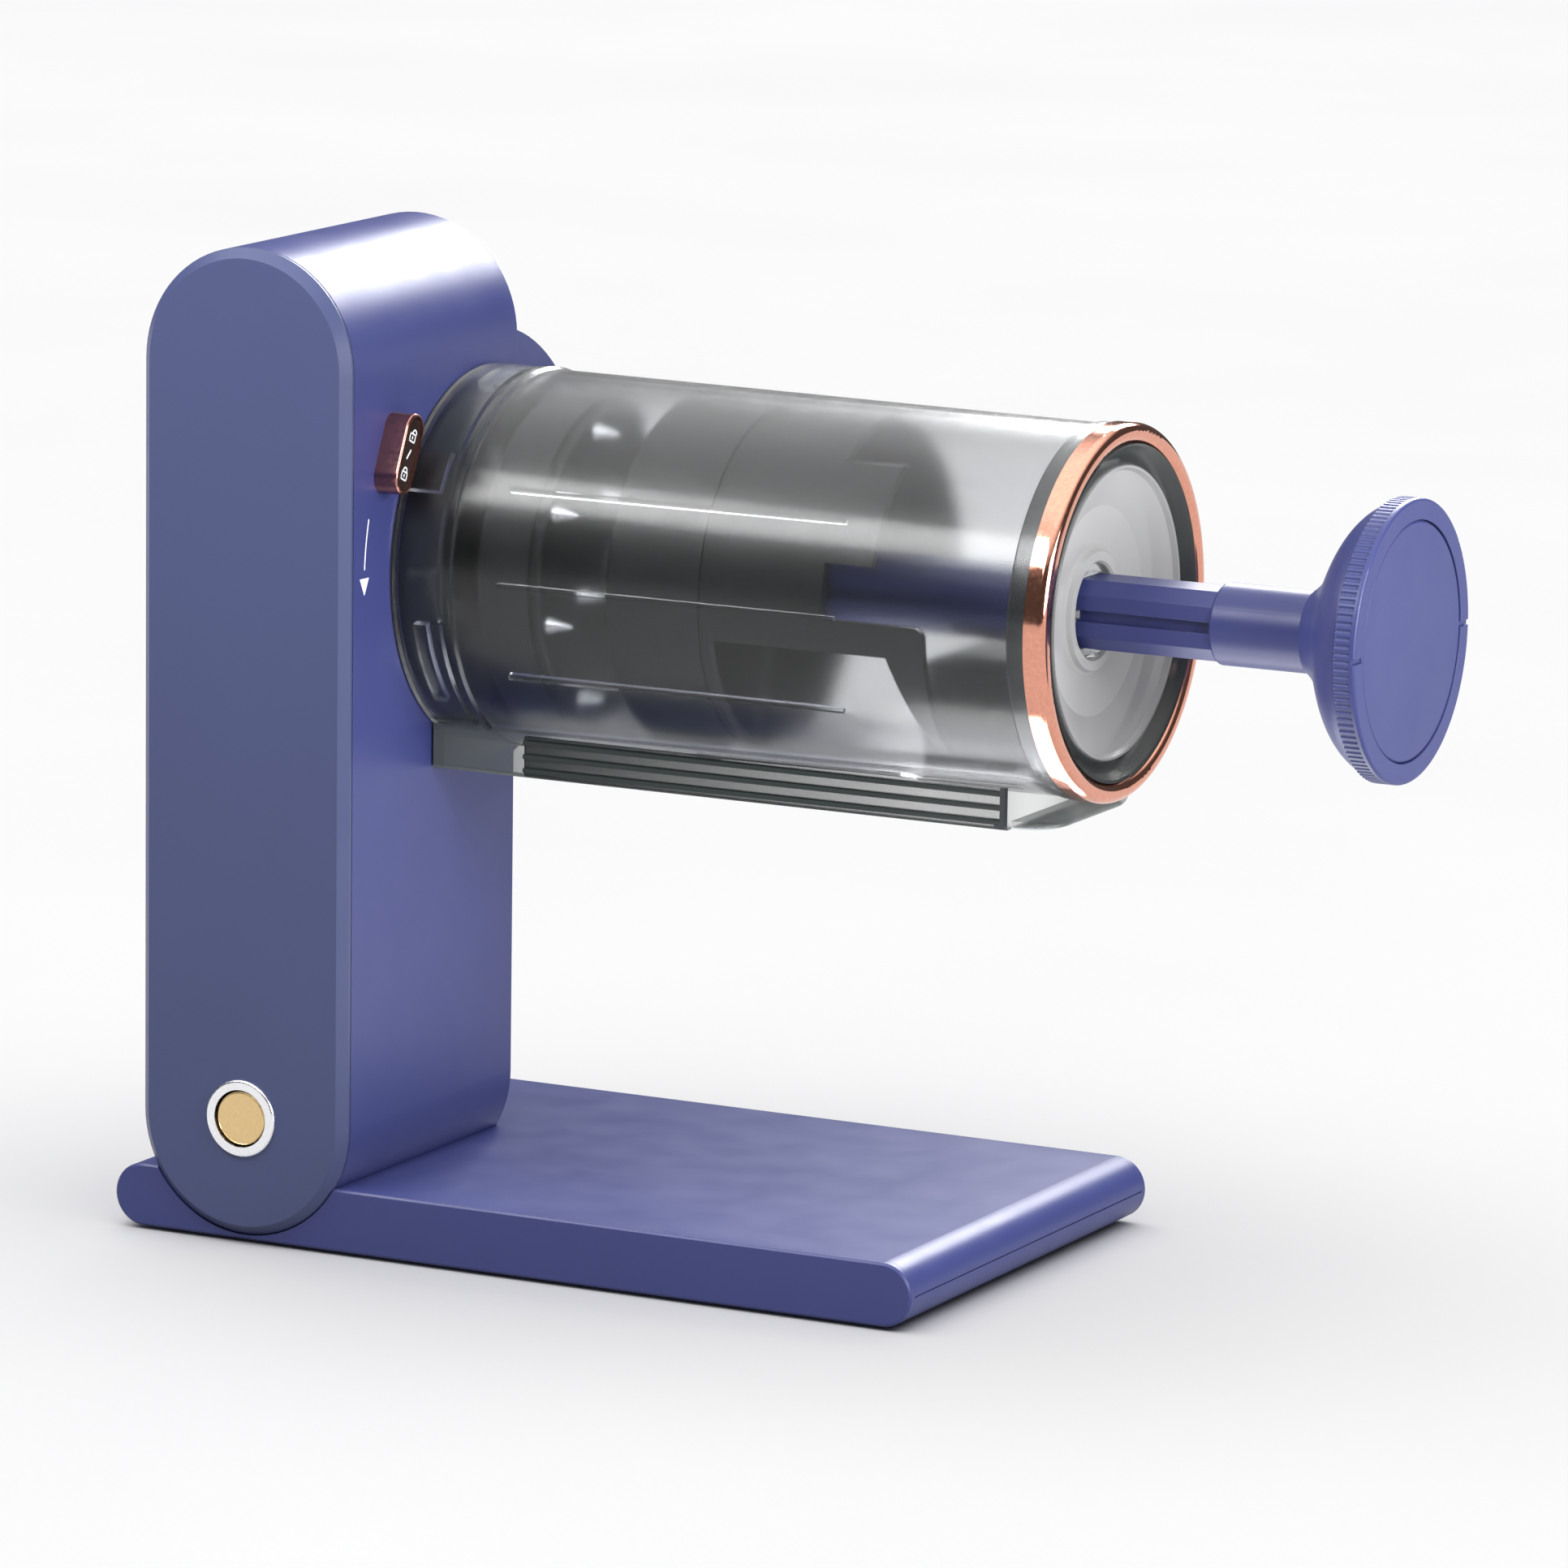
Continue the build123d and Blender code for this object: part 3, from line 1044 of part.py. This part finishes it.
def all_parts():
    """Every sub-part by its name."""
    parts = {}
    for made in (
        base_parts(), column_parts(), inlet(), button_parts(), badge_parts(), gear_parts(),
        gearbox_parts(), motor_parts(), mount_parts(), drive_parts(), chute_parts(), head_parts(),
        plunger_parts(),
    ):
        parts.update(made)
    parts["drum_barrel"] = barrel()
    parts["drum_trim_ring"] = trim_ring()
    parts["drum_end_cap"] = end_cap()
    parts["rod_guide_bush"] = guide_bush()
    parts["ice_deflector"] = deflector()
    return parts


os.makedirs("parts", exist_ok=True)
for name, shape in all_parts().items():
    export_step(shape, f"parts/{name}.step")
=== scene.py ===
"""Looks for the shaved ice machine: materials, printed marks, camera, floor and studio light.

Everything is in metres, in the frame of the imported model: +Z up, -Y the front, and +X from the
column to the knob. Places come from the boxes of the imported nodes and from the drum's joint.
"""
import json
import math

import bmesh
import bpy
from mathutils import Matrix, Vector

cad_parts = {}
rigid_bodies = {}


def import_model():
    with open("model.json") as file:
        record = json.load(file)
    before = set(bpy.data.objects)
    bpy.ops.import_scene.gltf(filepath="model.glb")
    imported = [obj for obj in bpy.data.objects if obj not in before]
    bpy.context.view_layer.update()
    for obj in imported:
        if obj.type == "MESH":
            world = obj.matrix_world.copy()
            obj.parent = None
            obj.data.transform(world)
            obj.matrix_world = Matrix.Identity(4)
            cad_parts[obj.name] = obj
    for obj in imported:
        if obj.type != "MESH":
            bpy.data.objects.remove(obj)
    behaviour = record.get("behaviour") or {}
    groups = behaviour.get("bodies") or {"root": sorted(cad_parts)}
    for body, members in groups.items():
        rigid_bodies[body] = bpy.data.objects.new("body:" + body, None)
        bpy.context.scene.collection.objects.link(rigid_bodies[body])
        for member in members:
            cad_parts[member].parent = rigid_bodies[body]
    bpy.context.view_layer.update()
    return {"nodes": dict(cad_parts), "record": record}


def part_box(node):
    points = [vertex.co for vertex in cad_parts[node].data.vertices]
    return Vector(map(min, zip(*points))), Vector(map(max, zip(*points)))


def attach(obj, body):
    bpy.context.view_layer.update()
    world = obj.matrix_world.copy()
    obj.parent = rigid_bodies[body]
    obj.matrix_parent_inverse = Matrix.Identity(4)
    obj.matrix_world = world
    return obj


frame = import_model()
NODES = frame["nodes"]
MM = 0.001

# Camera: a long lens with a slight roll
CAMERA_AZIMUTH = math.radians(27.03)
CAMERA_ELEVATION = math.radians(10.71)
CAMERA_ROLL = math.radians(0.82)
CAMERA_DISTANCE = 2.467
CAMERA_LENS = 212.0
CAMERA_SENSOR = 36.0
CAMERA_NEAR = 0.05
CAMERA_FAR = 50.0
CAMERA_TARGET = Vector((-1.85, -11.55, 129.65)) * MM

# Drum axis, from the twist joint
TWIST = next(j for j in frame["record"]["behaviour"]["joints"] if j["name"] == "drum_twist")
AXIS_Y = TWIST["pos_m"][1]
AXIS_Z = TWIST["pos_m"][2]

# Painted shade on the clear plastic: darker at the chute's neck (along X) and lower lip (up from
# its lowest point), on its side rails (along X) with their ribs, and in the groove round the end
# cap's dish
NECK_PAINTED_SHADE = 0.6
NECK_X = (-92 * MM, -60 * MM)
LIP_PAINTED_SHADE = 0.5
LIP_HEIGHT = (0.3 * MM, 0.9 * MM)
RAIL_PAINTED_SHADE = 0.6
RAIL_X = (-70 * MM, 50 * MM)
RIB_PAINTED_SHADE = 0.7
RIB_LOW = 129.2 * MM
RIB_PITCH = 3.8 * MM
RIB_EDGE = (0.5 * MM, 0.9 * MM)
CAP_GROOVE = (38.5 * MM, 39.5 * MM)
GROOVE_PAINTED_SHADE = (0.035, 0.04, 0.04)

# Arrow printed on the column's right side: a thin arc about the drum, and its head
PRINT_THICKNESS = 0.08 * MM
ARROW_RADIUS = 65.0 * MM
ARROW_WIDTH = 0.45 * MM
ARROW_START = math.radians(15.3)
ARROW_END = math.radians(3.3)
ARROW_TIP = math.radians(-2.8)
ARROW_HEAD = math.radians(1.3)
ARROW_HEAD_WIDTH = 4.8 * MM
ARC_STEPS = 10

# Marks printed on the lock badge, measured across and along it from its middle
BADGE_LEAN = math.radians(25.0)
SHUT_PLACE = -5.6 * MM
OPEN_PLACE = 5.0 * MM
OPEN_SHIFT = 0.7 * MM
LOCK_LINE = 0.42 * MM
LOCK_HALF_WIDTH = 1.65 * MM
LOCK_LOW = -1.625 * MM
LOCK_HIGH = 0.9 * MM
SHACKLE_RADIUS = 0.8 * MM
KEYHOLE = (-0.75 * MM, 0.1 * MM)
STROKE_CORNERS = ((-0.9, -1.3), (-0.4, -1.5), (0.9, 1.3), (0.4, 1.5))

# Floor and light
FLOOR_HALF = 8.0
FLOOR_TONES = ((0.89, 0.89, 0.90), (0.92, 0.92, 0.92))
SKY_STRENGTH = (0.10, 2.0)
SKY_RISE = (0.5, 0.85)
DRUM_MIDDLE = (-0.01, AXIS_Y, AXIS_Z)
SOFTBOXES = {
    # name: place, target, size, radiance
    "key": ((-0.24, -0.37, 0.55), DRUM_MIDDLE, (0.62, 0.15), 14.0),
    "back": ((-0.11, 0.95, 0.75), (-0.12, 0, 0.25), (0.6, 0.32), 26.0),
    "right": ((0.72, -0.22, 0.36), (0.17, 0, 0.18), (0.4, 0.3), 22.0),
    "fill": ((0.055, -0.03, 0.03), (0.055, -0.03, 0.2), (0.15, 0.18), 5.0),
}


# ---------------------------------------------------------------- material helpers
def new_material(name):
    """Empty node material with a Principled shader: returns (material, tree, shader)."""
    made = bpy.data.materials.new(name)
    made.use_nodes = True
    tree = made.node_tree
    return made, tree, tree.nodes["Principled BSDF"]


def object_point(tree, stretch=(1, 1, 1), shift=(0, 0, 0)):
    """Object coordinates in metres, stretched along each axis and then shifted."""
    coords = tree.nodes.new("ShaderNodeTexCoord")
    mapping = tree.nodes.new("ShaderNodeMapping")
    mapping.inputs["Location"].default_value = shift
    mapping.inputs["Scale"].default_value = stretch
    tree.links.new(coords.outputs["Object"], mapping.inputs["Vector"])
    return mapping.outputs["Vector"]


def place_along(tree, axis):
    """Object coordinate along one axis, in metres."""
    split = tree.nodes.new("ShaderNodeSeparateXYZ")
    tree.links.new(object_point(tree), split.inputs["Vector"])
    return split.outputs[axis]


def noise(tree, point, scale, detail=3.0):
    """Noise value between 0 and 1."""
    node = tree.nodes.new("ShaderNodeTexNoise")
    node.inputs["Scale"].default_value = scale
    node.inputs["Detail"].default_value = detail
    tree.links.new(point, node.inputs["Vector"])
    return node.outputs["Fac"]


def spread(tree, value, low, high, start=0.3, end=0.7):
    """Map a value from start..end to low..high."""
    node = tree.nodes.new("ShaderNodeMapRange")
    node.inputs["From Min"].default_value = start
    node.inputs["From Max"].default_value = end
    node.inputs["To Min"].default_value = low
    node.inputs["To Max"].default_value = high
    tree.links.new(value, node.inputs["Value"])
    return node.outputs["Result"]


def math_node(tree, operation, first, second):
    """Math on a linked value and either another linked value or a constant."""
    node = tree.nodes.new("ShaderNodeMath")
    node.operation = operation
    tree.links.new(first, node.inputs[0])
    if isinstance(second, (int, float)):
        node.inputs[1].default_value = second
    else:
        tree.links.new(second, node.inputs[1])
    return node.outputs[0]


def mix_colour(tree, value, low, high):
    """Blend two colours by a value between 0 and 1."""
    node = tree.nodes.new("ShaderNodeMix")
    node.data_type = "RGBA"
    node.inputs[6].default_value = (*low, 1)
    node.inputs[7].default_value = (*high, 1)
    tree.links.new(value, node.inputs[0])
    return node.outputs[2]


def rounded_edges(tree, radius):
    """Normal that rounds sharp edges by a small radius."""
    node = tree.nodes.new("ShaderNodeBevel")
    node.samples = 4
    node.inputs["Radius"].default_value = radius
    return node.outputs["Normal"]


def bump(tree, shader, height, strength, distance, normal=None):
    """Raise the surface by a height texture."""
    node = tree.nodes.new("ShaderNodeBump")
    node.inputs["Strength"].default_value = strength
    node.inputs["Distance"].default_value = distance
    tree.links.new(height, node.inputs["Height"])
    if normal is not None:
        tree.links.new(normal, node.inputs["Normal"])
    tree.links.new(node.outputs["Normal"], shader.inputs["Normal"])


def tone(tree, shader, value, colour, change):
    """Base colour that a value between 0 and 1 makes darker or lighter, by (low, high) factors."""
    low, high = (tuple(c * factor for c in colour) for factor in change)
    tree.links.new(mix_colour(tree, value, low, high), shader.inputs["Base Color"])


def gloss(tree, shader, value, low, high):
    """Roughness between low and high."""
    tree.links.new(spread(tree, value, low, high), shader.inputs["Roughness"])


def clear_grain(tree, shader, point):
    """Very fine grain on clear plastic."""
    bump(tree, shader, noise(tree, point, 1500.0, 2.0), 0.15, 0.01 * MM)


# ---------------------------------------------------------------- kinds of material
def plastic(name, colour, roughness, grain=2600.0, depth=0.02 * MM, edge=0.0, shine=0.5):
    """Moulded plastic: fine mould grain, slow tone variation and uneven gloss."""
    made, tree, shader = new_material(name)
    point = object_point(tree)
    drift = spread(tree, noise(tree, point, 14.0, 4.0), 0, 1, 0.1, 0.9)
    tone(tree, shader, drift, colour, (0.94, 1.06))
    gloss(tree, shader, noise(tree, point, 60.0, 5.0), roughness - 0.03, roughness + 0.04)
    shader.inputs["Specular IOR Level"].default_value = shine
    normal = rounded_edges(tree, edge) if edge else None
    bump(tree, shader, noise(tree, point, grain, 2.0), 0.3, depth, normal)
    return made


def metal(name, colour, roughness, stretch=(1, 1, 1), scale=900.0, depth=0.01 * MM):
    """Metal with fine tool marks drawn out along one axis."""
    made, tree, shader = new_material(name)
    shader.inputs["Metallic"].default_value = 1.0
    marks = noise(tree, object_point(tree, stretch), scale, 4.0)
    tone(tree, shader, spread(tree, marks, 0, 1), colour, (0.9, 1.05))
    gloss(tree, shader, marks, roughness * 0.7, roughness * 1.3)
    bump(tree, shader, marks, 0.2, depth)
    return made


def clear(name, colour, roughness, index):
    """Clear plastic, lightly frosted by its mould, with faint flow clouds."""
    made, tree, shader = new_material(name)
    point = object_point(tree)
    shader.inputs["Transmission Weight"].default_value = 1.0
    shader.inputs["IOR"].default_value = index
    cloud = noise(tree, point, 22.0, 4.0)
    tone(tree, shader, spread(tree, cloud, 0, 1), colour, (0.97, 1.03))
    gloss(tree, shader, cloud, roughness - 0.02, roughness + 0.02)
    clear_grain(tree, shader, point)
    return made


def thin_clear(name, colour, roughness, face, edge):
    """Thin smoky wall seen straight through: denser where it is seen edge-on."""
    made, tree, shader = new_material(name)
    point = object_point(tree)
    cloud = noise(tree, point, 25.0, 4.0)
    tone(tree, shader, spread(tree, cloud, 0, 1, 0.1, 0.9), colour, (0.97, 1.03))
    frost = spread(tree, cloud, roughness - 0.01, roughness + 0.01, 0.0, 1.0)
    tree.links.new(frost, shader.inputs["Roughness"])
    weight = tree.nodes.new("ShaderNodeLayerWeight")
    weight.inputs["Blend"].default_value = 0.35
    density = spread(tree, weight.outputs["Facing"], face, edge, 0.0, 1.0)
    tree.links.new(density, shader.inputs["Alpha"])
    clear_grain(tree, shader, point)
    return made


def add_painted_shade(tree, shader, smoke):
    """Add painted shade (the smoke argument) to a thin clear material as extra opacity, up to
    solid.
    """
    alpha = shader.inputs["Alpha"]
    total = math_node(tree, "ADD", alpha.links[0].from_socket, smoke)
    total.node.use_clamp = True
    tree.links.new(total, alpha)


def chute_clear():
    """Thin clear plastic of the chute, with painted shade at its neck and along its lower lip."""
    made = thin_clear("chute_clear_plastic", (0.10, 0.11, 0.11), 0.15, 0.12, 0.75)
    tree = made.node_tree
    shader = tree.nodes["Principled BSDF"]
    # Painted shade: darker towards the column at the chute's neck, where the dark column shows
    # through.
    add_painted_shade(tree, shader, spread(tree, place_along(tree, "X"), NECK_PAINTED_SHADE, 0.0, *NECK_X))
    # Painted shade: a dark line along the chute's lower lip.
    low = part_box("chute")[0][2]
    lip = [low + height for height in LIP_HEIGHT]
    add_painted_shade(tree, shader, spread(tree, place_along(tree, "Z"), LIP_PAINTED_SHADE, 0.0, *lip))
    return made


def rail_clear():
    """Thin clear plastic, with painted shade towards the column and painted shade lines along each
    rail's raised ribs.
    """
    made = thin_clear("rail_clear_plastic", (0.02, 0.025, 0.025), 0.1, 0.12, 0.9)
    tree = made.node_tree
    shader = tree.nodes["Principled BSDF"]
    shader.inputs["Specular IOR Level"].default_value = 0.2
    # Painted shade: darker towards the column, which shows dark through the rails.
    add_painted_shade(tree, shader, spread(tree, place_along(tree, "X"), RAIL_PAINTED_SHADE, 0.0, *RAIL_X))
    # Painted shade: dark lines along the rails' raised ribs.
    height = math_node(tree, "SUBTRACT", place_along(tree, "Z"), RIB_LOW)
    from_rib = math_node(tree, "PINGPONG", height, RIB_PITCH / 2)
    add_painted_shade(tree, shader, spread(tree, from_rib, RIB_PAINTED_SHADE, 0.0, *RIB_EDGE))
    return made


def cap_clear():
    """Satin clear plastic of the end cap: a pale dish and painted shade in the groove round it."""
    made = thin_clear("satin_clear_plastic", (0.36, 0.36, 0.36), 0.26, 0.72, 0.93)
    tree = made.node_tree
    colour = tree.nodes["Principled BSDF"].inputs["Base Color"]
    length = tree.nodes.new("ShaderNodeVectorMath")
    length.operation = "LENGTH"
    from_axis = object_point(tree, stretch=(0, 1, 1), shift=(0, -AXIS_Y, -AXIS_Z))
    tree.links.new(from_axis, length.inputs[0])
    # Painted shade: a dark ring in the groove round the dish, where its wall reads dark.
    blend = tree.nodes.new("ShaderNodeMix")
    blend.data_type = "RGBA"
    tree.links.new(spread(tree, length.outputs["Value"], 0.0, 1.0, *CAP_GROOVE), blend.inputs[0])
    tree.links.new(colour.links[0].from_socket, blend.inputs[6])
    blend.inputs[7].default_value = (*GROOVE_PAINTED_SHADE, 1)
    tree.links.new(blend.outputs[2], colour)
    return made


# ---------------------------------------------------------------- materials
BLUE = (0.031, 0.038, 0.135)
# Painted reflection: the front cover's copy of the blue plastic is greyer, standing in for the
# pale floor it reflects.
FRONT_BLUE_PAINTED_REFLECTION = (0.041, 0.051, 0.124)
BLUE_EDGE = 0.35 * MM
MATERIALS = {
    "blue_shell": plastic("blue_satin_plastic", BLUE, 0.38, edge=BLUE_EDGE, shine=0.35),
    "steel": metal("brushed_steel", (0.62, 0.63, 0.65), 0.26, (1, 6, 6)),
    "rubber": plastic("black_rubber", (0.02, 0.02, 0.022), 0.75, 1500.0, 0.04 * MM),
    "black_plastic": plastic("black_plastic", (0.018, 0.021, 0.024), 0.42),
    "brass": metal("brass", (0.80, 0.60, 0.27), 0.25),
    "bronze": metal("sintered_bronze", (0.60, 0.38, 0.18), 0.4),
    "silver_trim": metal("satin_silver", (0.93, 0.93, 0.95), 0.25),
    "gold_cap": metal("spun_gold", (0.83, 0.60, 0.30), 0.32),
    "circuit_board": plastic("solder_mask", (0.01, 0.14, 0.05), 0.3),
    "rose_gold": metal("polished_rose_gold", (0.77, 0.35, 0.25), 0.10),
    "dark_badge": plastic("dark_badge", (0.012, 0.006, 0.005), 0.4, shine=0.25),
    "lead_sheath": plastic("red_sheath", (0.45, 0.02, 0.02), 0.4),
    "smoke_clear": clear("smoke_clear_plastic", (0.78, 0.79, 0.80), 0.20, 1.36),
    "pale_clear": thin_clear("pale_clear_plastic", (0.09, 0.10, 0.10), 0.15, 0.15, 0.8),
    "dark_plastic": plastic("dark_plastic", (0.013, 0.015, 0.015), 0.5, shine=0.3),
    "gear_nylon": plastic("natural_nylon", (0.74, 0.71, 0.62), 0.45),
}

# Pieces that differ in look from others of the same stuff; several also carry painted shade, and
# the front cover a painted reflection
OTHERS = {
    "drum_end_cap": cap_clear(),
    "chute": chute_clear(),
    "chute_side_rails": rail_clear(),
    # Painted reflection: a greyer blue than the housing of the same plastic.
    "column_front_cover": plastic(
        "blue_plastic_painted_reflection", FRONT_BLUE_PAINTED_REFLECTION, 0.38, edge=BLUE_EDGE, shine=0.4
    ),
    # Painted shade: a darker copy of the rose gold for the badge's rim.
    "lock_badge_rim": metal("rose_gold_painted_shade", (0.42, 0.19, 0.16), 0.18),
}

slots = {part["node"]: part["material_slot"] for part in frame["record"]["subparts"]}
for node, thing in NODES.items():
    thing.data.materials.clear()
    thing.data.materials.append(OTHERS.get(node, MATERIALS[slots[node]]))


# ---------------------------------------------------------------- printed marks
def mark(name, outlines, x, material):
    """Thin printed piece on a face that looks along +X, from outlines of (y, z) points."""
    shape = bmesh.new()
    for outline in outlines:
        corners = [shape.verts.new((x, y, z)) for y, z in outline]
        face = shape.faces.new(corners)
        raised = bmesh.ops.extrude_face_region(shape, geom=[face])
        moved = [v for v in raised["geom"] if isinstance(v, bmesh.types.BMVert)]
        bmesh.ops.translate(shape, vec=(PRINT_THICKNESS, 0, 0), verts=moved)
    bmesh.ops.recalc_face_normals(shape, faces=shape.faces)
    mesh = bpy.data.meshes.new(name)
    shape.to_mesh(mesh)
    shape.free()
    mesh.materials.append(material)
    piece = bpy.data.objects.new(name, mesh)
    bpy.context.scene.collection.objects.link(piece)
    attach(piece, "stand")
    return piece


def band(radius_in, radius_out, start, end, place):
    """Outline of part of a ring; place turns (radius, angle) into (y, z)."""
    angles = [start + (end - start) * i / ARC_STEPS for i in range(ARC_STEPS + 1)]
    outer = [place(radius_out, a) for a in angles]
    inner = [place(radius_in, a) for a in reversed(angles)]
    return outer + inner


def about_drum(radius, angle):
    """Point by radius about the drum's axis and angle above the horizontal at the front."""
    return AXIS_Y - radius * math.cos(angle), AXIS_Z + radius * math.sin(angle)


def add_arrow(material):
    """Curved arrow beside the drum that shows which way it unlocks."""
    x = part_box("drum_gasket")[0][0]
    half = ARROW_WIDTH / 2
    line = band(ARROW_RADIUS - half, ARROW_RADIUS + half, ARROW_START, ARROW_END, about_drum)
    wide = ARROW_HEAD_WIDTH / 2
    head = [
        about_drum(ARROW_RADIUS - wide, ARROW_HEAD),
        about_drum(ARROW_RADIUS, ARROW_TIP),
        about_drum(ARROW_RADIUS + wide, ARROW_HEAD),
    ]
    mark("twist_arrow", [line, head], x, material)


def add_badge_icons(material):
    """Two small padlocks, one open and one shut, with a slanted stroke between them."""
    low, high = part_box("lock_badge_face")
    x = high[0]
    middle = ((low[1] + high[1]) / 2, (low[2] + high[2]) / 2)
    along = (math.sin(BADGE_LEAN), math.cos(BADGE_LEAN))
    across = (math.cos(BADGE_LEAN), -math.sin(BADGE_LEAN))

    def place(a, b):
        """Point from distances across and along the badge."""
        return (
            middle[0] + a * across[0] + b * along[0],
            middle[1] + a * across[1] + b * along[1],
        )

    def padlock(name, centre, shift):
        """Body as a rounded frame and a shackle above it, moved aside by shift when open."""
        bottom = centre + LOCK_LOW
        top = centre + LOCK_HIGH
        wide = LOCK_HALF_WIDTH

        def around(radius, angle):
            return place(shift + radius * math.cos(angle), top + radius * math.sin(angle))

        shackle = band(SHACKLE_RADIUS, SHACKLE_RADIUS + LOCK_LINE, 0, math.pi, around)
        bars = [
            (-wide, wide, bottom, bottom + LOCK_LINE),
            (-wide, wide, top - LOCK_LINE, top),
            (-wide, -wide + LOCK_LINE, bottom, top),
            (wide - LOCK_LINE, wide, bottom, top),
            (-LOCK_LINE / 2, LOCK_LINE / 2, centre + KEYHOLE[0], centre + KEYHOLE[1]),
        ]
        outlines = [shackle]
        for a0, a1, b0, b1 in bars:
            outlines.append([place(a0, b0), place(a1, b0), place(a1, b1), place(a0, b1)])
        mark(name, outlines, x, material)

    padlock("badge_padlock_shut", SHUT_PLACE, 0.0)
    padlock("badge_padlock_open", OPEN_PLACE, OPEN_SHIFT)
    stroke = [place(a * MM, b * MM) for a, b in STROKE_CORNERS]
    mark("badge_stroke", [stroke], x, material)


PRINT = plastic("pale_print", (0.72, 0.73, 0.76), 0.5)
add_arrow(PRINT)
add_badge_icons(PRINT)


# ---------------------------------------------------------------- camera
def add_camera():
    """Long-lens camera, looking down and from the right of the front."""
    back = Vector((
        math.sin(CAMERA_AZIMUTH) * math.cos(CAMERA_ELEVATION),
        -math.cos(CAMERA_AZIMUTH) * math.cos(CAMERA_ELEVATION),
        math.sin(CAMERA_ELEVATION),
    ))
    right = (-back).cross(Vector((0, 0, 1))).normalized()
    up = right.cross(-back)
    turn = Matrix.Rotation(CAMERA_ROLL, 3, back)
    data = bpy.data.cameras.new("camera")
    data.lens = CAMERA_LENS
    data.sensor_width = CAMERA_SENSOR
    data.clip_start = CAMERA_NEAR
    data.clip_end = CAMERA_FAR
    camera = bpy.data.objects.new("camera", data)
    bpy.context.scene.collection.objects.link(camera)
    matrix = Matrix((turn @ right, turn @ up, back)).transposed().to_4x4()
    matrix.translation = CAMERA_TARGET + back * CAMERA_DISTANCE
    camera.matrix_world = matrix
    bpy.context.scene.camera = camera


# ---------------------------------------------------------------- floor and light
def add_floor():
    """Plain pale floor."""
    mesh = bpy.data.meshes.new("floor")
    shape = bmesh.new()
    bmesh.ops.create_grid(shape, x_segments=2, y_segments=2, size=FLOOR_HALF)
    shape.to_mesh(mesh)
    shape.free()
    floor = bpy.data.objects.new("floor", mesh)
    bpy.context.scene.collection.objects.link(floor)
    made, tree, shader = new_material("pale_floor")
    value = spread(tree, noise(tree, object_point(tree), 3.0), 0, 1)
    tree.links.new(mix_colour(tree, value, *FLOOR_TONES), shader.inputs["Base Color"])
    shader.inputs["Roughness"].default_value = 0.7
    mesh.materials.append(made)


def add_softbox(name, place, target, size, radiance, lit):
    """Rectangular area light aimed at a point, which lights one collection alone."""
    data = bpy.data.lights.new(name, "AREA")
    data.shape = "RECTANGLE"
    data.size, data.size_y = size
    data.energy = radiance * math.pi * size[0] * size[1]
    lamp = bpy.data.objects.new(name, data)
    bpy.context.scene.collection.objects.link(lamp)
    lamp.location = place
    aim = Vector(target) - Vector(place)
    lamp.rotation_euler = aim.to_track_quat("-Z", "Y").to_euler()
    lamp.light_linking.receiver_collection = lit
    lamp.visible_camera = False


def add_world():
    """White surroundings that brighten from the horizon up to an overhead ceiling."""
    world = bpy.data.worlds.new("studio")
    bpy.context.scene.world = world
    world.use_nodes = True
    tree = world.node_tree
    sky = tree.nodes["Background"]
    coords = tree.nodes.new("ShaderNodeTexCoord")
    split = tree.nodes.new("ShaderNodeSeparateXYZ")
    tree.links.new(coords.outputs["Generated"], split.inputs["Vector"])
    strength = spread(tree, split.outputs["Z"], *SKY_STRENGTH, *SKY_RISE)
    tree.links.new(strength, sky.inputs["Strength"])
    sky.inputs["Color"].default_value = (1.0, 1.0, 1.0, 1)


# The softboxes light the machine alone; the ceiling lights the floor
machine = bpy.data.collections.new("lit_by_softboxes")
for thing in bpy.context.scene.objects:
    if thing.type == "MESH":
        machine.objects.link(thing)

add_camera()
add_floor()
add_world()
for name, softbox in SOFTBOXES.items():
    add_softbox(name, *softbox, machine)
bpy.context.scene.view_settings.view_transform = "Standard"
